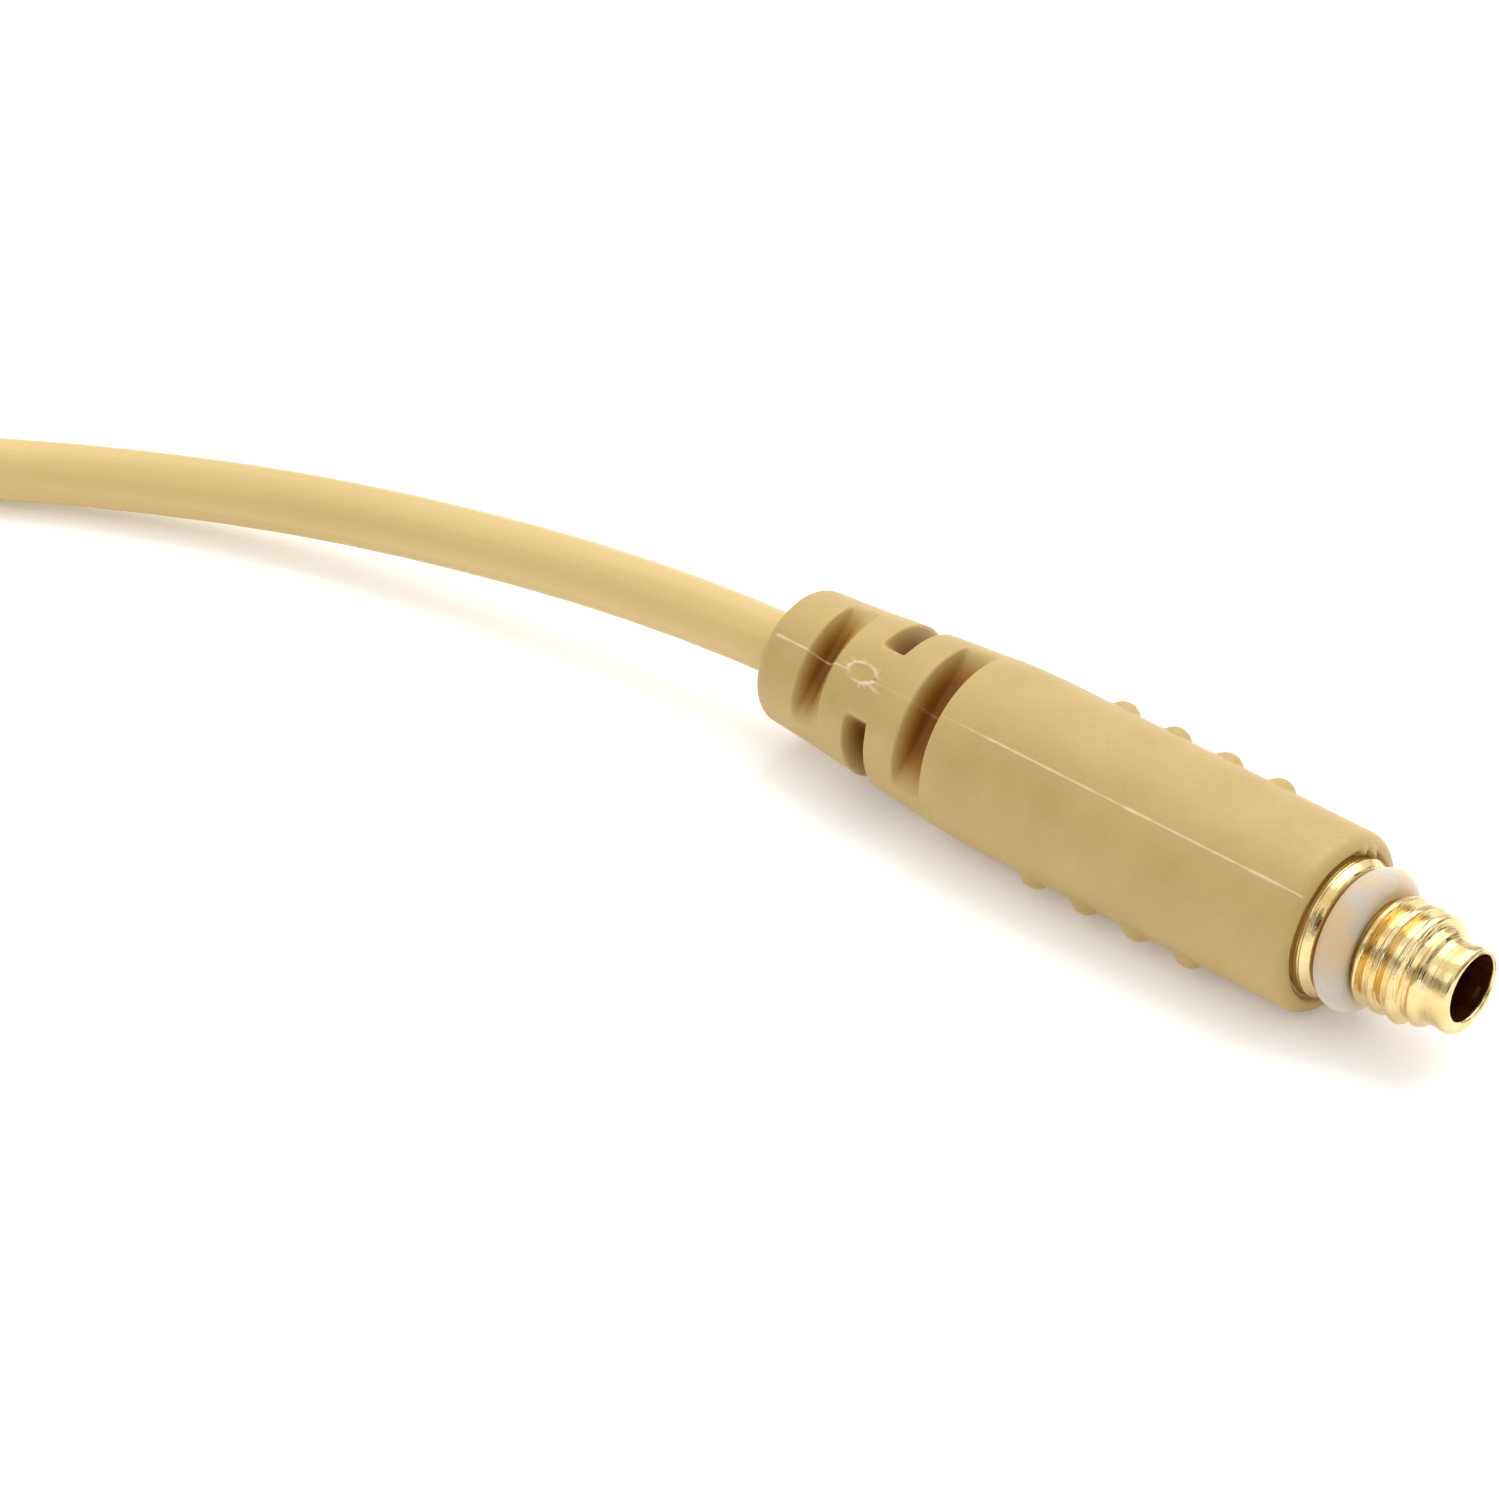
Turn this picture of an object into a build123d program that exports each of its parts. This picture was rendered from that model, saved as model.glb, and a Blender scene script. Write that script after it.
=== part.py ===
"""A single-ear headset microphone laid flat, with its cord coiled and its threaded cord tip.

Millimetres, +Z up. The origin is the bottom centre of the headset itself, so the floor is Z = 0.
The boom points along +X from its swivel and the ear hook loops round on the -X side. The cord leaves
the hook's tail, goes through a garment clip into a tied coil, and ends in the threaded tip.
"""
from build123d import *
import math
import os

# ---- driving dimensions -------------------------------------------------------------------------
GAP = 0.05                       # running clearance, radial

# headset, as it lies
PIVOT = (-30.94, 3.20)            # swivel axis of the boom
MID_Z = 2.8                      # parting plane of the swivel housing
HOUSING_D, HOUSING_H, HOUSING_EDGE = 10.0, 5.6, 1.1
NECK_D, NECK_L, NECK_EDGE = 5.2, 9.5, 0.8
SLEEVE_AT = 5.0                  # where the sleeve's end stands in the neck
DRUM_D, DRUM_H, DRUM_EDGE = 6.4, 2.6, 0.3
DRUM_ROOM = 0.15                 # round the drum; two thirds of it above and below
POST_D, POST_LOW, POST_H = 2.2, 0.6, 3.7
SCREW_D, SCREW_LOW = 1.2, 1.4
SCREW_HEAD_D, SCREW_HEAD_H, SCREW_SINK = 2.4, 0.5, 0.7
CROSS_L, CROSS_W = 1.5, 0.3
SLEEVE_D, SLEEVE_BORE = 3.2, 2.1
HOOK_WIRE_D, WIRE_DROP = 0.8, -0.55
INNER_CABLE_D, CABLE_LIFT = 0.9, 0.45
HOOK_RUNS = [(0, 5.2, 2.8), (0, 27, 2.8), (-31, 27, 1.6), (-34, -6, 1.6), (-27, -16, 1.6), (-27, -27, 1.6)]
HOOK_RADII = [13.4, 13.4, 14.0, 14.0]
TAIL_L, TAIL_TIP_D = 8.0, 2.8
BOOM_D, BOOM_BORE = 1.8, 1.2
BOOM_RUNS = [(2.4, 0, 2.8), (32, 0, 2.8), (62, -5, 3.6), (84, -14, 4.3)]
BOOM_RADII = [60.0, 45.0]
BOOM_CABLE_D = 0.8
BOOM_ROOM = 0.2                  # between the boom and the slot that it swings in
SWING_DOWN, SWING_UP = 12.0, 45.0
CAN_D, CAN_L, CAN_NOSE_D, CAN_TAPER = 4.8, 9.0, 2.5, 0.8
GROOVE_T, GROOVE_W, GROOVE_DEPTH = 7.4, 0.3, 0.1
BOARD_T, BOARD_W, BOARD_H = 3.6, 2.6, 0.5
CAPSULE_D, CAPSULE_T, CAPSULE_L = 4.0, 5.2, 3.0
GASKET_BORE, GASKET_L = 2.4, 0.4
MESH_T, MESH_H, MESH_HOLE_D, MESH_PITCH, MESH_REACH = 8.65, 0.15, 0.4, 0.62, 1.55
FOAM_SEAT = 0.2
FOAM_PROFILE = [(1.8, 2.9), (2.3, 3.6), (4.0, 4.2), (9.6, 4.2), (12.2, 3.5), (13.4, 1.8), (13.8, 0.01)]

# cord
CORD_D = 2.15
HOOK_CORD = [(-57.94, -31.80, 1.6), (-57.94, -51.3, 1.6), (-54.2, -59.8, 4.2), (-46.0, -60.7, 8.0)]
TIP_CORD = [(-43.0, -60.7, 1.6), (-23.4, -60.7, 1.1), (-12.6, -63.24, 1.6), (-4.3, -67.25, 2.35),
            (3.1, -71.95, 2.95), (6.61, -74.84, 3.085)]
COIL_CENTRE = (-48.0, -77.1)
COIL_MEAN_R, COIL_BAND_W, COIL_BAND_H = 12.6, 9.8, 8.6
BAND_EDGE = 1.0
TIE_T, TIE_W, TIE_ANGLE, TIE_EDGE, TIE_ROOM = 0.5, 3.0, 225.0, 1.2, 0.03
TWIST_D, TWIST_L, TWIST_Z = 1.4, 4.0, 5.0

# garment clip, centred on the cord
CLIP_AT = (-57.94, -40.4)
CLIP_L, CLIP_W, CLIP_BASE_H = 12.0, 6.4, 3.1
CLIP_CORNER, CLIP_EDGE, CLIP_SLIT_W, CLIP_CORD_Z = 1.0, 0.3, 1.7, 1.6
CLIP_PIN_D, CLIP_PIN_L, CLIP_PIN_Z, CLIP_PIN_Y = 1.0, 5.4, 4.7, 1.0
EAR_X, EAR_T, EAR_W, EAR_R = 2.35, 0.9, 2.8, 1.1
JAW_W = 3.4
JAW_SIDE = [(-5.9, 3.2), (-5.9, 3.9), (-3.0, 4.3), (-0.4, 5.6), (2.4, 5.6), (6.4, 7.4), (6.8, 6.4),
            (2.6, 4.4), (1.6, 3.6), (0.2, 3.6), (-3.0, 3.4), (-5.2, 3.2)]
SPRING_D, SPRING_W, SPRING_ROOM = 2.1, 1.5, 0.3

# cord tip, along its own axis from the boot's rear face
TIP_REAR = (6.61, -74.84)
TIP_TURN = -41.0                 # heading of the nose, degrees from +X
TIP_ROLL = 48.5                  # height of the parting line above level, degrees
BOOT_D, BOOT_L = 6.17, 22.2
BOOT_PROFILE = [(0.0, 2.33), (2.3, 2.50), (3.7, 2.64), (5.6, 2.81), (7.0, 2.93), (8.1, 3.03), (9.6, 3.085)]
BOOT_EDGE = 0.45
# each slot: rear wall, end of its flat floor, top of its front wall, height of its floor, direction
SLOTS = [(1.84, 2.20, 2.97, 1.34, "parting"), (4.12, 4.97, 5.07, 1.24, "grip"),
         (6.40, 6.95, 7.63, 1.42, "parting")]
BUMP_T, BUMP_PITCH, BUMPS_A_SIDE = 11.83, 2.08, 4
BUMP_D, BUMP_H = 1.0, 0.28
JACKET_END, JACKET_BORE = 9.0, 1.5
BRAID_END, BRAID_BORE = 11.0, 1.1
CORE_END, CONDUCTOR_D, CONDUCTOR_END = 13.6, 0.4, 15.0
FERRULE_D, FERRULE_START, FERRULE_END = 3.0, 7.9, 11.0
PREMOULD_D, PREMOULD_START, PREMOULD_END = 4.4, 11.2, 20.6
STEM_D, STEM_START = 3.4, 12.9
SOLDER = [(14.2, 0.3), (14.5, 0.6), (15.3, 0.6), (15.6, 0.5)]
CONTACT_D = 0.5
CUP_D, COLLAR_D, COLLAR_START, COLLAR_END = 1.0, 1.6, 16.4, 18.9
CONTACT_TAPER, CONTACT_END = 26.0, 26.4
INSULATOR_END = 23.6
FLANGE_D, FLANGE_FRONT, FLANGE_SINK = 4.75, 22.7, 0.25
RING_OD, RING_SECTION = 4.84, 1.15
THREAD_D, THREAD_PITCH, THREAD_DEPTH = 3.86, 0.7, 0.32
THREAD_START, THREAD_END = 23.85, 26.0
NOSE_D, NOSE_END, NOSE_EDGE = 2.9, 27.25, 0.13
BORE_D, BORE_SHIFT = 2.27, 0.12

parts = {}


# ---- helpers ------------------------------------------------------------------------------------
def tube_along(runs, radii, diameter, bore=0.0):
    """A round bar or tube along straight runs joined by tangent arcs."""
    path = FilletPolyline(*runs, radius=radii)
    start = Plane(origin=path @ 0, z_dir=path % 0)
    solid = sweep(start * Circle(diameter / 2), path=path)
    if bore:
        solid -= sweep(start * Circle(bore / 2), path=path)
    return solid


def turned(points):
    """A solid of revolution about local X, from (along, radius) points."""
    outline = [(points[0][0], 0), *points, (points[-1][0], 0)]
    face = make_face(Polyline(*outline, close=True))
    return revolve(face, axis=Axis.X)


def rod(start, end, diameter, bore=0.0):
    """A round bar along local X."""
    solid = turned([(start, diameter / 2), (end, diameter / 2)])
    if bore:
        solid -= turned([(start - 1, bore / 2), (end + 1, bore / 2)])
    return solid


def at_pivot(x, y, z):
    return (PIVOT[0] + x, PIVOT[1] + y, z)


def frame_along(origin, heading):
    """A location at origin whose local X is the heading and whose local Y is level."""
    side = Vector(0, 0, 1).cross(heading).normalized()
    return Plane(origin=origin, x_dir=heading, z_dir=heading.cross(side)).location


def arc_radii(points):
    """Each corner's arc: 0.45 of the shorter run over the tangent of half the turn."""
    radii = []
    for before, here, after in zip(points, points[1:], points[2:]):
        run_in, run_out = Vector(here) - Vector(before), Vector(after) - Vector(here)
        half_turn = math.radians(run_in.get_angle(run_out)) / 2
        radii.append(0.45 * min(run_in.length, run_out.length) / math.tan(half_turn))
    return radii


# ---- swivel housing -----------------------------------------------------------------------------
def upright(diameter, height, low):
    """A round bar standing at the swivel's axis, its foot at height low."""
    bar = Cylinder(diameter / 2, height, align=(Align.CENTER, Align.CENTER, Align.MIN))
    return Pos(*at_pivot(0, 0, low)) * bar


def housing_blank():
    """Round pod with a neck that takes the hook's sleeve, both softened at the edges."""
    pod = Cylinder(HOUSING_D / 2, HOUSING_H)
    pod = fillet(pod.edges(), HOUSING_EDGE)
    neck = Rot(-90, 0, 0) * Cylinder(NECK_D / 2, NECK_L, align=(Align.CENTER, Align.CENTER, Align.MIN))
    neck = fillet(neck.edges().sort_by(Axis.Y)[-1], NECK_EDGE)
    return Pos(*at_pivot(0, 0, MID_Z)) * (pod + neck)


def swivel_window():
    """The slot that the boom sweeps through the pod's wall, with room on every side."""
    width = BOOM_D + 2 * BOOM_ROOM
    arm = Box(HOUSING_D, width, width, align=(Align.MIN, Align.CENTER, Align.CENTER))
    corners = [(0, 0)]
    for angle in (-SWING_DOWN, 0, SWING_UP / 2, SWING_UP):
        corners.append((HOUSING_D * math.cos(math.radians(angle)), HOUSING_D * math.sin(math.radians(angle))))
    fan = Pos(0, 0, -width / 2) * extrude(make_face(Polyline(*corners, close=True)), width)
    return Pos(*at_pivot(0, 0, MID_Z)) * (fan + Rot(0, 0, -SWING_DOWN) * arm + Rot(0, 0, SWING_UP) * arm)


def housing_cavity():
    """Room for the drum, the sleeve's end and the passage between them."""
    drum = Cylinder(DRUM_D / 2 + DRUM_ROOM, DRUM_H + 4 / 3 * DRUM_ROOM)
    sleeve = Pos(0, SLEEVE_AT, 0) * Rot(-90, 0, 0) * Cylinder(
        SLEEVE_D / 2, NECK_L, align=(Align.CENTER, Align.CENTER, Align.MIN))
    passage = Pos(0, SLEEVE_AT - 1, 0) * Rot(90, 0, 0) * Cylinder(SLEEVE_BORE / 2, 3)
    return Pos(*at_pivot(0, 0, MID_Z)) * (drum + sleeve + passage)


def make_housing():
    blank = housing_blank() - housing_cavity() - swivel_window()
    lower_half = Pos(*at_pivot(0, 0, MID_Z - HOUSING_D)) * Box(60, 60, 2 * HOUSING_D)
    upper_half = Pos(*at_pivot(0, 0, MID_Z + HOUSING_D)) * Box(60, 60, 2 * HOUSING_D)
    floor_z = MID_Z - HOUSING_H / 2
    seat_z = MID_Z + HOUSING_H / 2 - SCREW_SINK
    post = upright(POST_D, POST_H, floor_z + POST_LOW)
    hole = upright(SCREW_D, HOUSING_H, floor_z + SCREW_LOW)
    head_seat = upright(SCREW_HEAD_D + 2 * GAP, HOUSING_H, seat_z)
    post_seat = upright(POST_D, POST_LOW + POST_H + GAP - 1.8, MID_Z - 1)
    parts["housing_lower"] = (blank & lower_half) + post - hole
    parts["housing_upper"] = (blank & upper_half) - hole - head_seat - post_seat
    shank = upright(SCREW_D, seat_z - floor_z - SCREW_LOW, floor_z + SCREW_LOW)
    head = upright(SCREW_HEAD_D, SCREW_HEAD_H, seat_z)
    cross = Box(CROSS_L, CROSS_W, SCREW_HEAD_H) + Box(CROSS_W, CROSS_L, SCREW_HEAD_H)
    parts["housing_screw"] = shank + head - Pos(*at_pivot(0, 0, seat_z + SCREW_HEAD_H)) * cross


# ---- ear hook -----------------------------------------------------------------------------------
def hook_points(lift):
    return [at_pivot(x, y, z + lift) for x, y, z in HOOK_RUNS]


def make_hook():
    parts["hook_sleeve"] = tube_along(hook_points(0), HOOK_RADII, SLEEVE_D, SLEEVE_BORE)
    parts["hook_wire"] = tube_along(hook_points(WIRE_DROP), HOOK_RADII, HOOK_WIRE_D)
    parts["inner_cable"] = tube_along(hook_points(CABLE_LIFT), HOOK_RADII, INNER_CABLE_D)
    end, before = Vector(hook_points(0)[-1]), Vector(hook_points(0)[-2])
    heading = (end - before).normalized()
    cone = turned([(0, SLEEVE_D / 2), (TAIL_L, TAIL_TIP_D / 2)])
    parts["hook_tail"] = frame_along(end, heading) * cone


# ---- boom and capsule ---------------------------------------------------------------------------
def boom_points():
    return [at_pivot(x, y, z) for x, y, z in BOOM_RUNS]


def boom_end_frame():
    end, before = Vector(boom_points()[-1]), Vector(boom_points()[-2])
    return frame_along(end, (end - before).normalized())


def make_boom():
    drum = Cylinder(DRUM_D / 2, DRUM_H)
    drum = fillet(drum.edges(), DRUM_EDGE)
    drum -= Cylinder(POST_D / 2 + GAP, DRUM_H + 1)
    drum = Pos(*at_pivot(0, 0, MID_Z)) * drum
    parts["boom_tube"] = tube_along(boom_points(), BOOM_RADII, BOOM_D, BOOM_BORE)
    parts["swivel_drum"] = drum - tube_along(boom_points(), BOOM_RADII, BOOM_D)
    parts["boom_cable"] = tube_along(boom_points(), BOOM_RADII, BOOM_CABLE_D)


def make_capsule():
    frame = boom_end_frame()
    bore = CAPSULE_D / 2 + GAP
    can = turned([(-1.0, CAN_NOSE_D / 2), (CAN_TAPER, CAN_D / 2), (CAN_L, CAN_D / 2)])
    can -= rod(-2, 0, BOOM_D)
    can -= turned([(0, 1.2), (1.2, bore), (CAN_L + 1, bore)])
    can -= rod(GROOVE_T, GROOVE_T + GROOVE_W, CAN_D + 1, CAN_D - 2 * GROOVE_DEPTH)
    parts["capsule_can"] = frame * can
    parts["amplifier_board"] = frame * (Pos(BOARD_T, 0, 0) * Box(BOARD_W, BOARD_W, BOARD_H))
    gasket_t = CAPSULE_T + CAPSULE_L
    parts["electret_capsule"] = frame * rod(CAPSULE_T, gasket_t, CAPSULE_D)
    parts["capsule_gasket"] = frame * rod(gasket_t, gasket_t + GASKET_L, CAPSULE_D, GASKET_BORE)
    mesh = Circle(CAPSULE_D / 2)
    for x, y in hex_spots(MESH_REACH, MESH_PITCH):
        mesh -= Pos(x, y) * Circle(MESH_HOLE_D / 2)
    parts["front_mesh"] = frame * (Pos(MESH_T, 0, 0) * Rot(0, 90, 0) * extrude(mesh, MESH_H))
    foam = turned(FOAM_PROFILE) - rod(1, CAN_L + FOAM_SEAT, CAN_D + 2 * GAP)
    parts["foam_windscreen"] = frame * foam


def hex_spots(reach, pitch):
    """Centres of a hexagonal pattern inside a circle."""
    spots = []
    for row in range(-4, 5):
        for column in range(-4, 5):
            x = pitch * (column + 0.5 * (row % 2))
            y = pitch * row * math.sqrt(3) / 2
            if math.hypot(x, y) <= reach:
                spots.append((x, y))
    return spots


# ---- cord, coil and tie -------------------------------------------------------------------------
def ring_band(width, height, low):
    """A ring round Z whose section is a softened rectangle."""
    section = Rot(90, 0, 0) * RectangleRounded(width, height, BAND_EDGE)
    section = Pos(COIL_MEAN_R, 0, low + height / 2) * section
    return revolve(section, axis=Axis.Z)


def make_cord():
    for name, runs in (("cord_hook_end", HOOK_CORD), ("cord_tip_end", TIP_CORD)):
        parts[name] = tube_along(runs, arc_radii(runs), CORD_D)
    parts["cord_coil"] = Pos(*COIL_CENTRE, 0) * ring_band(COIL_BAND_W, COIL_BAND_H, TIE_T)


def make_tie():
    outer = Box(COIL_BAND_W + 2 * TIE_T + 0.1, TIE_W, COIL_BAND_H + 2 * TIE_T)
    outer = fillet(outer.edges().filter_by(Axis.Y), TIE_EDGE)
    band = Pos(COIL_MEAN_R, 0, TIE_T + COIL_BAND_H / 2) * outer
    band -= ring_band(COIL_BAND_W + 2 * TIE_ROOM, COIL_BAND_H + 2 * TIE_ROOM, TIE_T - TIE_ROOM)
    stub_x = COIL_MEAN_R + COIL_BAND_W / 2 + TIE_T + TWIST_L / 2 - 0.5
    stub = Pos(stub_x, 0, TWIST_Z) * Rot(0, 90, 0) * Cylinder(TWIST_D / 2, TWIST_L)
    parts["cord_tie"] = Pos(*COIL_CENTRE, 0) * Rot(0, 0, TIE_ANGLE) * (band + stub)


# ---- garment clip -------------------------------------------------------------------------------
def clip_frame():
    return Pos(*CLIP_AT, 0)


def along_x(radius, length, y, z):
    return Pos(0, y, z) * Rot(0, 90, 0) * Cylinder(radius, length)


def make_clip():
    base = Pos(0, 0, CLIP_BASE_H / 2) * Box(CLIP_W, CLIP_L, CLIP_BASE_H)
    base = fillet(base.edges().filter_by(Axis.Z), CLIP_CORNER)
    base = fillet(base.faces().sort_by(Axis.Z)[-1].edges(), CLIP_EDGE)
    ear_low, ear_high = CLIP_BASE_H / 2 - 0.1, CLIP_PIN_Z + 0.7
    for side in (-1, 1):
        ear = Pos(side * EAR_X, CLIP_PIN_Y, (ear_low + ear_high) / 2) * Box(EAR_T, EAR_W, ear_high - ear_low)
        ear += Pos(side * EAR_X, 0, 0) * along_x(EAR_R, EAR_T, CLIP_PIN_Y, CLIP_PIN_Z)
        base += ear
    channel = Pos(0, 0, CLIP_CORD_Z) * Rot(90, 0, 0) * Cylinder(CORD_D / 2 + GAP, 2 * CLIP_L)
    slit = Box(CLIP_SLIT_W, 2 * CLIP_L, 2 * CLIP_CORD_Z - CORD_D / 2)
    base -= channel + slit + along_x(CLIP_PIN_D / 2, 2 * CLIP_W, CLIP_PIN_Y, CLIP_PIN_Z)
    parts["clip_base"] = clip_frame() * base

    jaw = extrude(Plane.YZ * make_face(Polyline(*JAW_SIDE, close=True)), JAW_W / 2, both=True)
    spring_room = SPRING_D + 2 * SPRING_ROOM
    jaw -= Pos(0, CLIP_PIN_Y, CLIP_PIN_Z) * Box(SPRING_W + 0.4, spring_room, spring_room)
    jaw -= along_x(CLIP_PIN_D / 2 + GAP, CLIP_W, CLIP_PIN_Y, CLIP_PIN_Z)
    parts["clip_jaw"] = clip_frame() * jaw
    parts["clip_pin"] = clip_frame() * along_x(CLIP_PIN_D / 2, CLIP_PIN_L, CLIP_PIN_Y, CLIP_PIN_Z)
    spring = along_x(SPRING_D / 2, SPRING_W, CLIP_PIN_Y, CLIP_PIN_Z)
    spring -= along_x(CLIP_PIN_D / 2 + GAP, 2 * SPRING_W, CLIP_PIN_Y, CLIP_PIN_Z)
    parts["clip_spring"] = clip_frame() * spring


# ---- threaded cord tip --------------------------------------------------------------------------
def tip_location():
    """Local X along the tip's axis, local Z the parting direction, local Y the grip direction."""
    turn, roll = math.radians(TIP_TURN), math.radians(TIP_ROLL)
    nose = Vector(math.cos(turn), math.sin(turn), 0)
    side = Vector(math.sin(turn), -math.cos(turn), 0)
    parting = side * math.cos(roll) + Vector(0, 0, 1) * math.sin(roll)
    return Plane(origin=(*TIP_REAR, BOOT_D / 2), x_dir=nose, z_dir=parting).location


def boot_blank():
    """The outside of the boot: a slow swell from the cord end, then a straight grip."""
    outline = Line((0, 0), (0, BOOT_PROFILE[0][1]))
    outline += Spline(*BOOT_PROFILE, tangents=((1, 0.06), (1, 0)))
    outline += Line(BOOT_PROFILE[-1], (BOOT_L, BOOT_D / 2))
    outline += Line((BOOT_L, BOOT_D / 2), (BOOT_L, 0))
    outline += Line((BOOT_L, 0), (0, 0))
    blank = revolve(make_face(outline), axis=Axis.X)
    return fillet(blank.edges().group_by(Axis.X)[0] + blank.edges().group_by(Axis.X)[-1], BOOT_EDGE)


def boot_slots():
    """Wedges with an upright rear wall and a front wall that leans forward."""
    cuts = []
    top = 5.0
    for start, flat, end, floor, direction in SLOTS:
        lean = (end - flat) / (BOOT_D / 2 - floor)
        front_top = flat + lean * (top - floor)
        side = Polyline((start, floor), (flat, floor), (front_top, top), (start, top), close=True)
        wedge = extrude(Plane.XZ * make_face(side), 10, both=True)
        for turn in (0, 180):
            cuts.append(Rot(turn if direction == "parting" else turn + 90, 0, 0) * wedge)
    return cuts


def make_boot():
    boot = boot_blank()
    sphere_r = ((BUMP_D / 2) ** 2 + BUMP_H ** 2) / (2 * BUMP_H)
    for side in (90, -90):
        for i in range(BUMPS_A_SIDE):
            bump = Pos(BUMP_T + i * BUMP_PITCH, 0, BOOT_D / 2 + BUMP_H - sphere_r) * Sphere(sphere_r)
            boot += Rot(side, 0, 0) * bump
    for slot in boot_slots():
        boot -= slot
    mouth = BOOT_L - FLANGE_SINK
    boot -= rod(-1, FERRULE_START, CORD_D)
    boot -= rod(FERRULE_START, PREMOULD_START, FERRULE_D)
    boot -= rod(PREMOULD_START, PREMOULD_END, PREMOULD_D)
    boot -= rod(PREMOULD_END, mouth, FLANGE_D)
    boot -= turned([(mouth - 0.05, FLANGE_D / 2), (BOOT_L + 1, FLANGE_D / 2 + 0.5)])
    parts["boot_overmould"] = boot


def make_tip_core():
    """What the boot hides: the stripped cord, its crimp and solder joint, and the contact's insulators."""
    parts["cord_jacket_end"] = rod(0, JACKET_END, CORD_D, JACKET_BORE)
    parts["shield_braid"] = rod(0, BRAID_END, JACKET_BORE, BRAID_BORE)
    parts["core_insulation"] = rod(0, CORE_END, BRAID_BORE, CONDUCTOR_D)
    parts["core_conductor"] = rod(0, CONDUCTOR_END, CONDUCTOR_D)
    ferrule = rod(FERRULE_START, FERRULE_END, FERRULE_D)
    parts["crimp_ferrule"] = ferrule - rod(0, JACKET_END, CORD_D) - rod(0, BRAID_END + 1, JACKET_BORE)
    premould = rod(PREMOULD_START, PREMOULD_END, PREMOULD_D)
    premould -= rod(0, STEM_START, BRAID_BORE) + rod(STEM_START, PREMOULD_END + 1, STEM_D)
    parts["inner_premould"] = premould
    solder = turned(SOLDER) - rod(0, CONDUCTOR_END, CONDUCTOR_D)
    parts["solder_joint"] = solder - rod(CONDUCTOR_END, COLLAR_START, CUP_D)
    parts["centre_contact"] = turned([
        (CONDUCTOR_END, CUP_D / 2), (COLLAR_START, CUP_D / 2), (COLLAR_START, COLLAR_D / 2),
        (COLLAR_END, COLLAR_D / 2), (COLLAR_END, CONTACT_D / 2), (CONTACT_TAPER, CONTACT_D / 2),
        (CONTACT_END, CONTACT_D / 4)])
    parts["rear_insulator"] = rod(COLLAR_START, COLLAR_END, BORE_D, COLLAR_D)
    parts["front_insulator"] = rod(COLLAR_END, INSULATOR_END, BORE_D, CONTACT_D)


def make_connector_body():
    """Turned brass: stem, flange, neck for the sealing ring, M4 thread and nose."""
    ring_seat = RING_OD / 2 - RING_SECTION
    profile = [(STEM_START, STEM_D / 2), (PREMOULD_END, STEM_D / 2), (PREMOULD_END, FLANGE_D / 2),
               (FLANGE_FRONT, FLANGE_D / 2), (FLANGE_FRONT, ring_seat), (THREAD_START, ring_seat)]
    root, crest = THREAD_D / 2 - THREAD_DEPTH, THREAD_D / 2
    start = THREAD_START
    while start + THREAD_PITCH <= THREAD_END + 0.06:
        profile += [(start, root), (start + 0.35 * THREAD_PITCH, crest), (start + 0.65 * THREAD_PITCH, crest)]
        start += THREAD_PITCH
    profile.append((start, root))
    profile += [(THREAD_END + 0.1, NOSE_D / 2), (NOSE_END - NOSE_EDGE, NOSE_D / 2),
                (NOSE_END, NOSE_D / 2 - NOSE_EDGE)]
    body = turned(profile)
    body -= rod(STEM_START - 1, INSULATOR_END, BORE_D)
    body -= Pos(0, BORE_SHIFT, 0) * rod(INSULATOR_END, NOSE_END + 1, BORE_D)
    parts["connector_body"] = body
    ring = Torus(RING_OD / 2 - RING_SECTION / 2, RING_SECTION / 2)
    parts["sealing_ring"] = Pos(FLANGE_FRONT + RING_SECTION / 2, 0, 0) * Rot(0, 90, 0) * ring


def make_tip():
    before = set(parts)
    make_boot()
    make_tip_core()
    make_connector_body()
    for name in set(parts) - before:
        parts[name] = tip_location() * parts[name]


# ---- write the parts ----------------------------------------------------------------------------
make_housing()
make_hook()
make_boom()
make_capsule()
make_cord()
make_tie()
make_clip()
make_tip()

os.makedirs("parts", exist_ok=True)
for name, solid in parts.items():
    solid.label = name
    export_step(solid, f"parts/{name}.step")
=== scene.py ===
"""A single-ear headset microphone with a threaded cord tip, laid out on a white table.

Metres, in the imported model's frame: +X along the boom, +Z up, the table at Z = 0.
"""
import math

import bmesh
import bpy
from mathutils import Matrix, Vector, noise


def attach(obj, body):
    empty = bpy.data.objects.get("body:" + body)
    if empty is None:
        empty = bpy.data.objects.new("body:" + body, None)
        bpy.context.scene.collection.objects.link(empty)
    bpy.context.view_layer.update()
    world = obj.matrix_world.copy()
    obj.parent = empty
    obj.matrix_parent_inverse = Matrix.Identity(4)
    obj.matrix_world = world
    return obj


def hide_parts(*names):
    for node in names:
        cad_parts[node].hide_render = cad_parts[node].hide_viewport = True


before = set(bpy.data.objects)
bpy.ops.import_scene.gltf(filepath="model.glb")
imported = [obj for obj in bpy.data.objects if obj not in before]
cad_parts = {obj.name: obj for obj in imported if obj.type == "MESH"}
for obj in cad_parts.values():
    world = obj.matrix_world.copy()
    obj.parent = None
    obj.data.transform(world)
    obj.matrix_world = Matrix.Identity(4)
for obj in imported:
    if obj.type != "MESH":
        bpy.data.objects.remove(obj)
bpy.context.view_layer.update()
scene = bpy.context.scene
MM = 0.001


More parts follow.
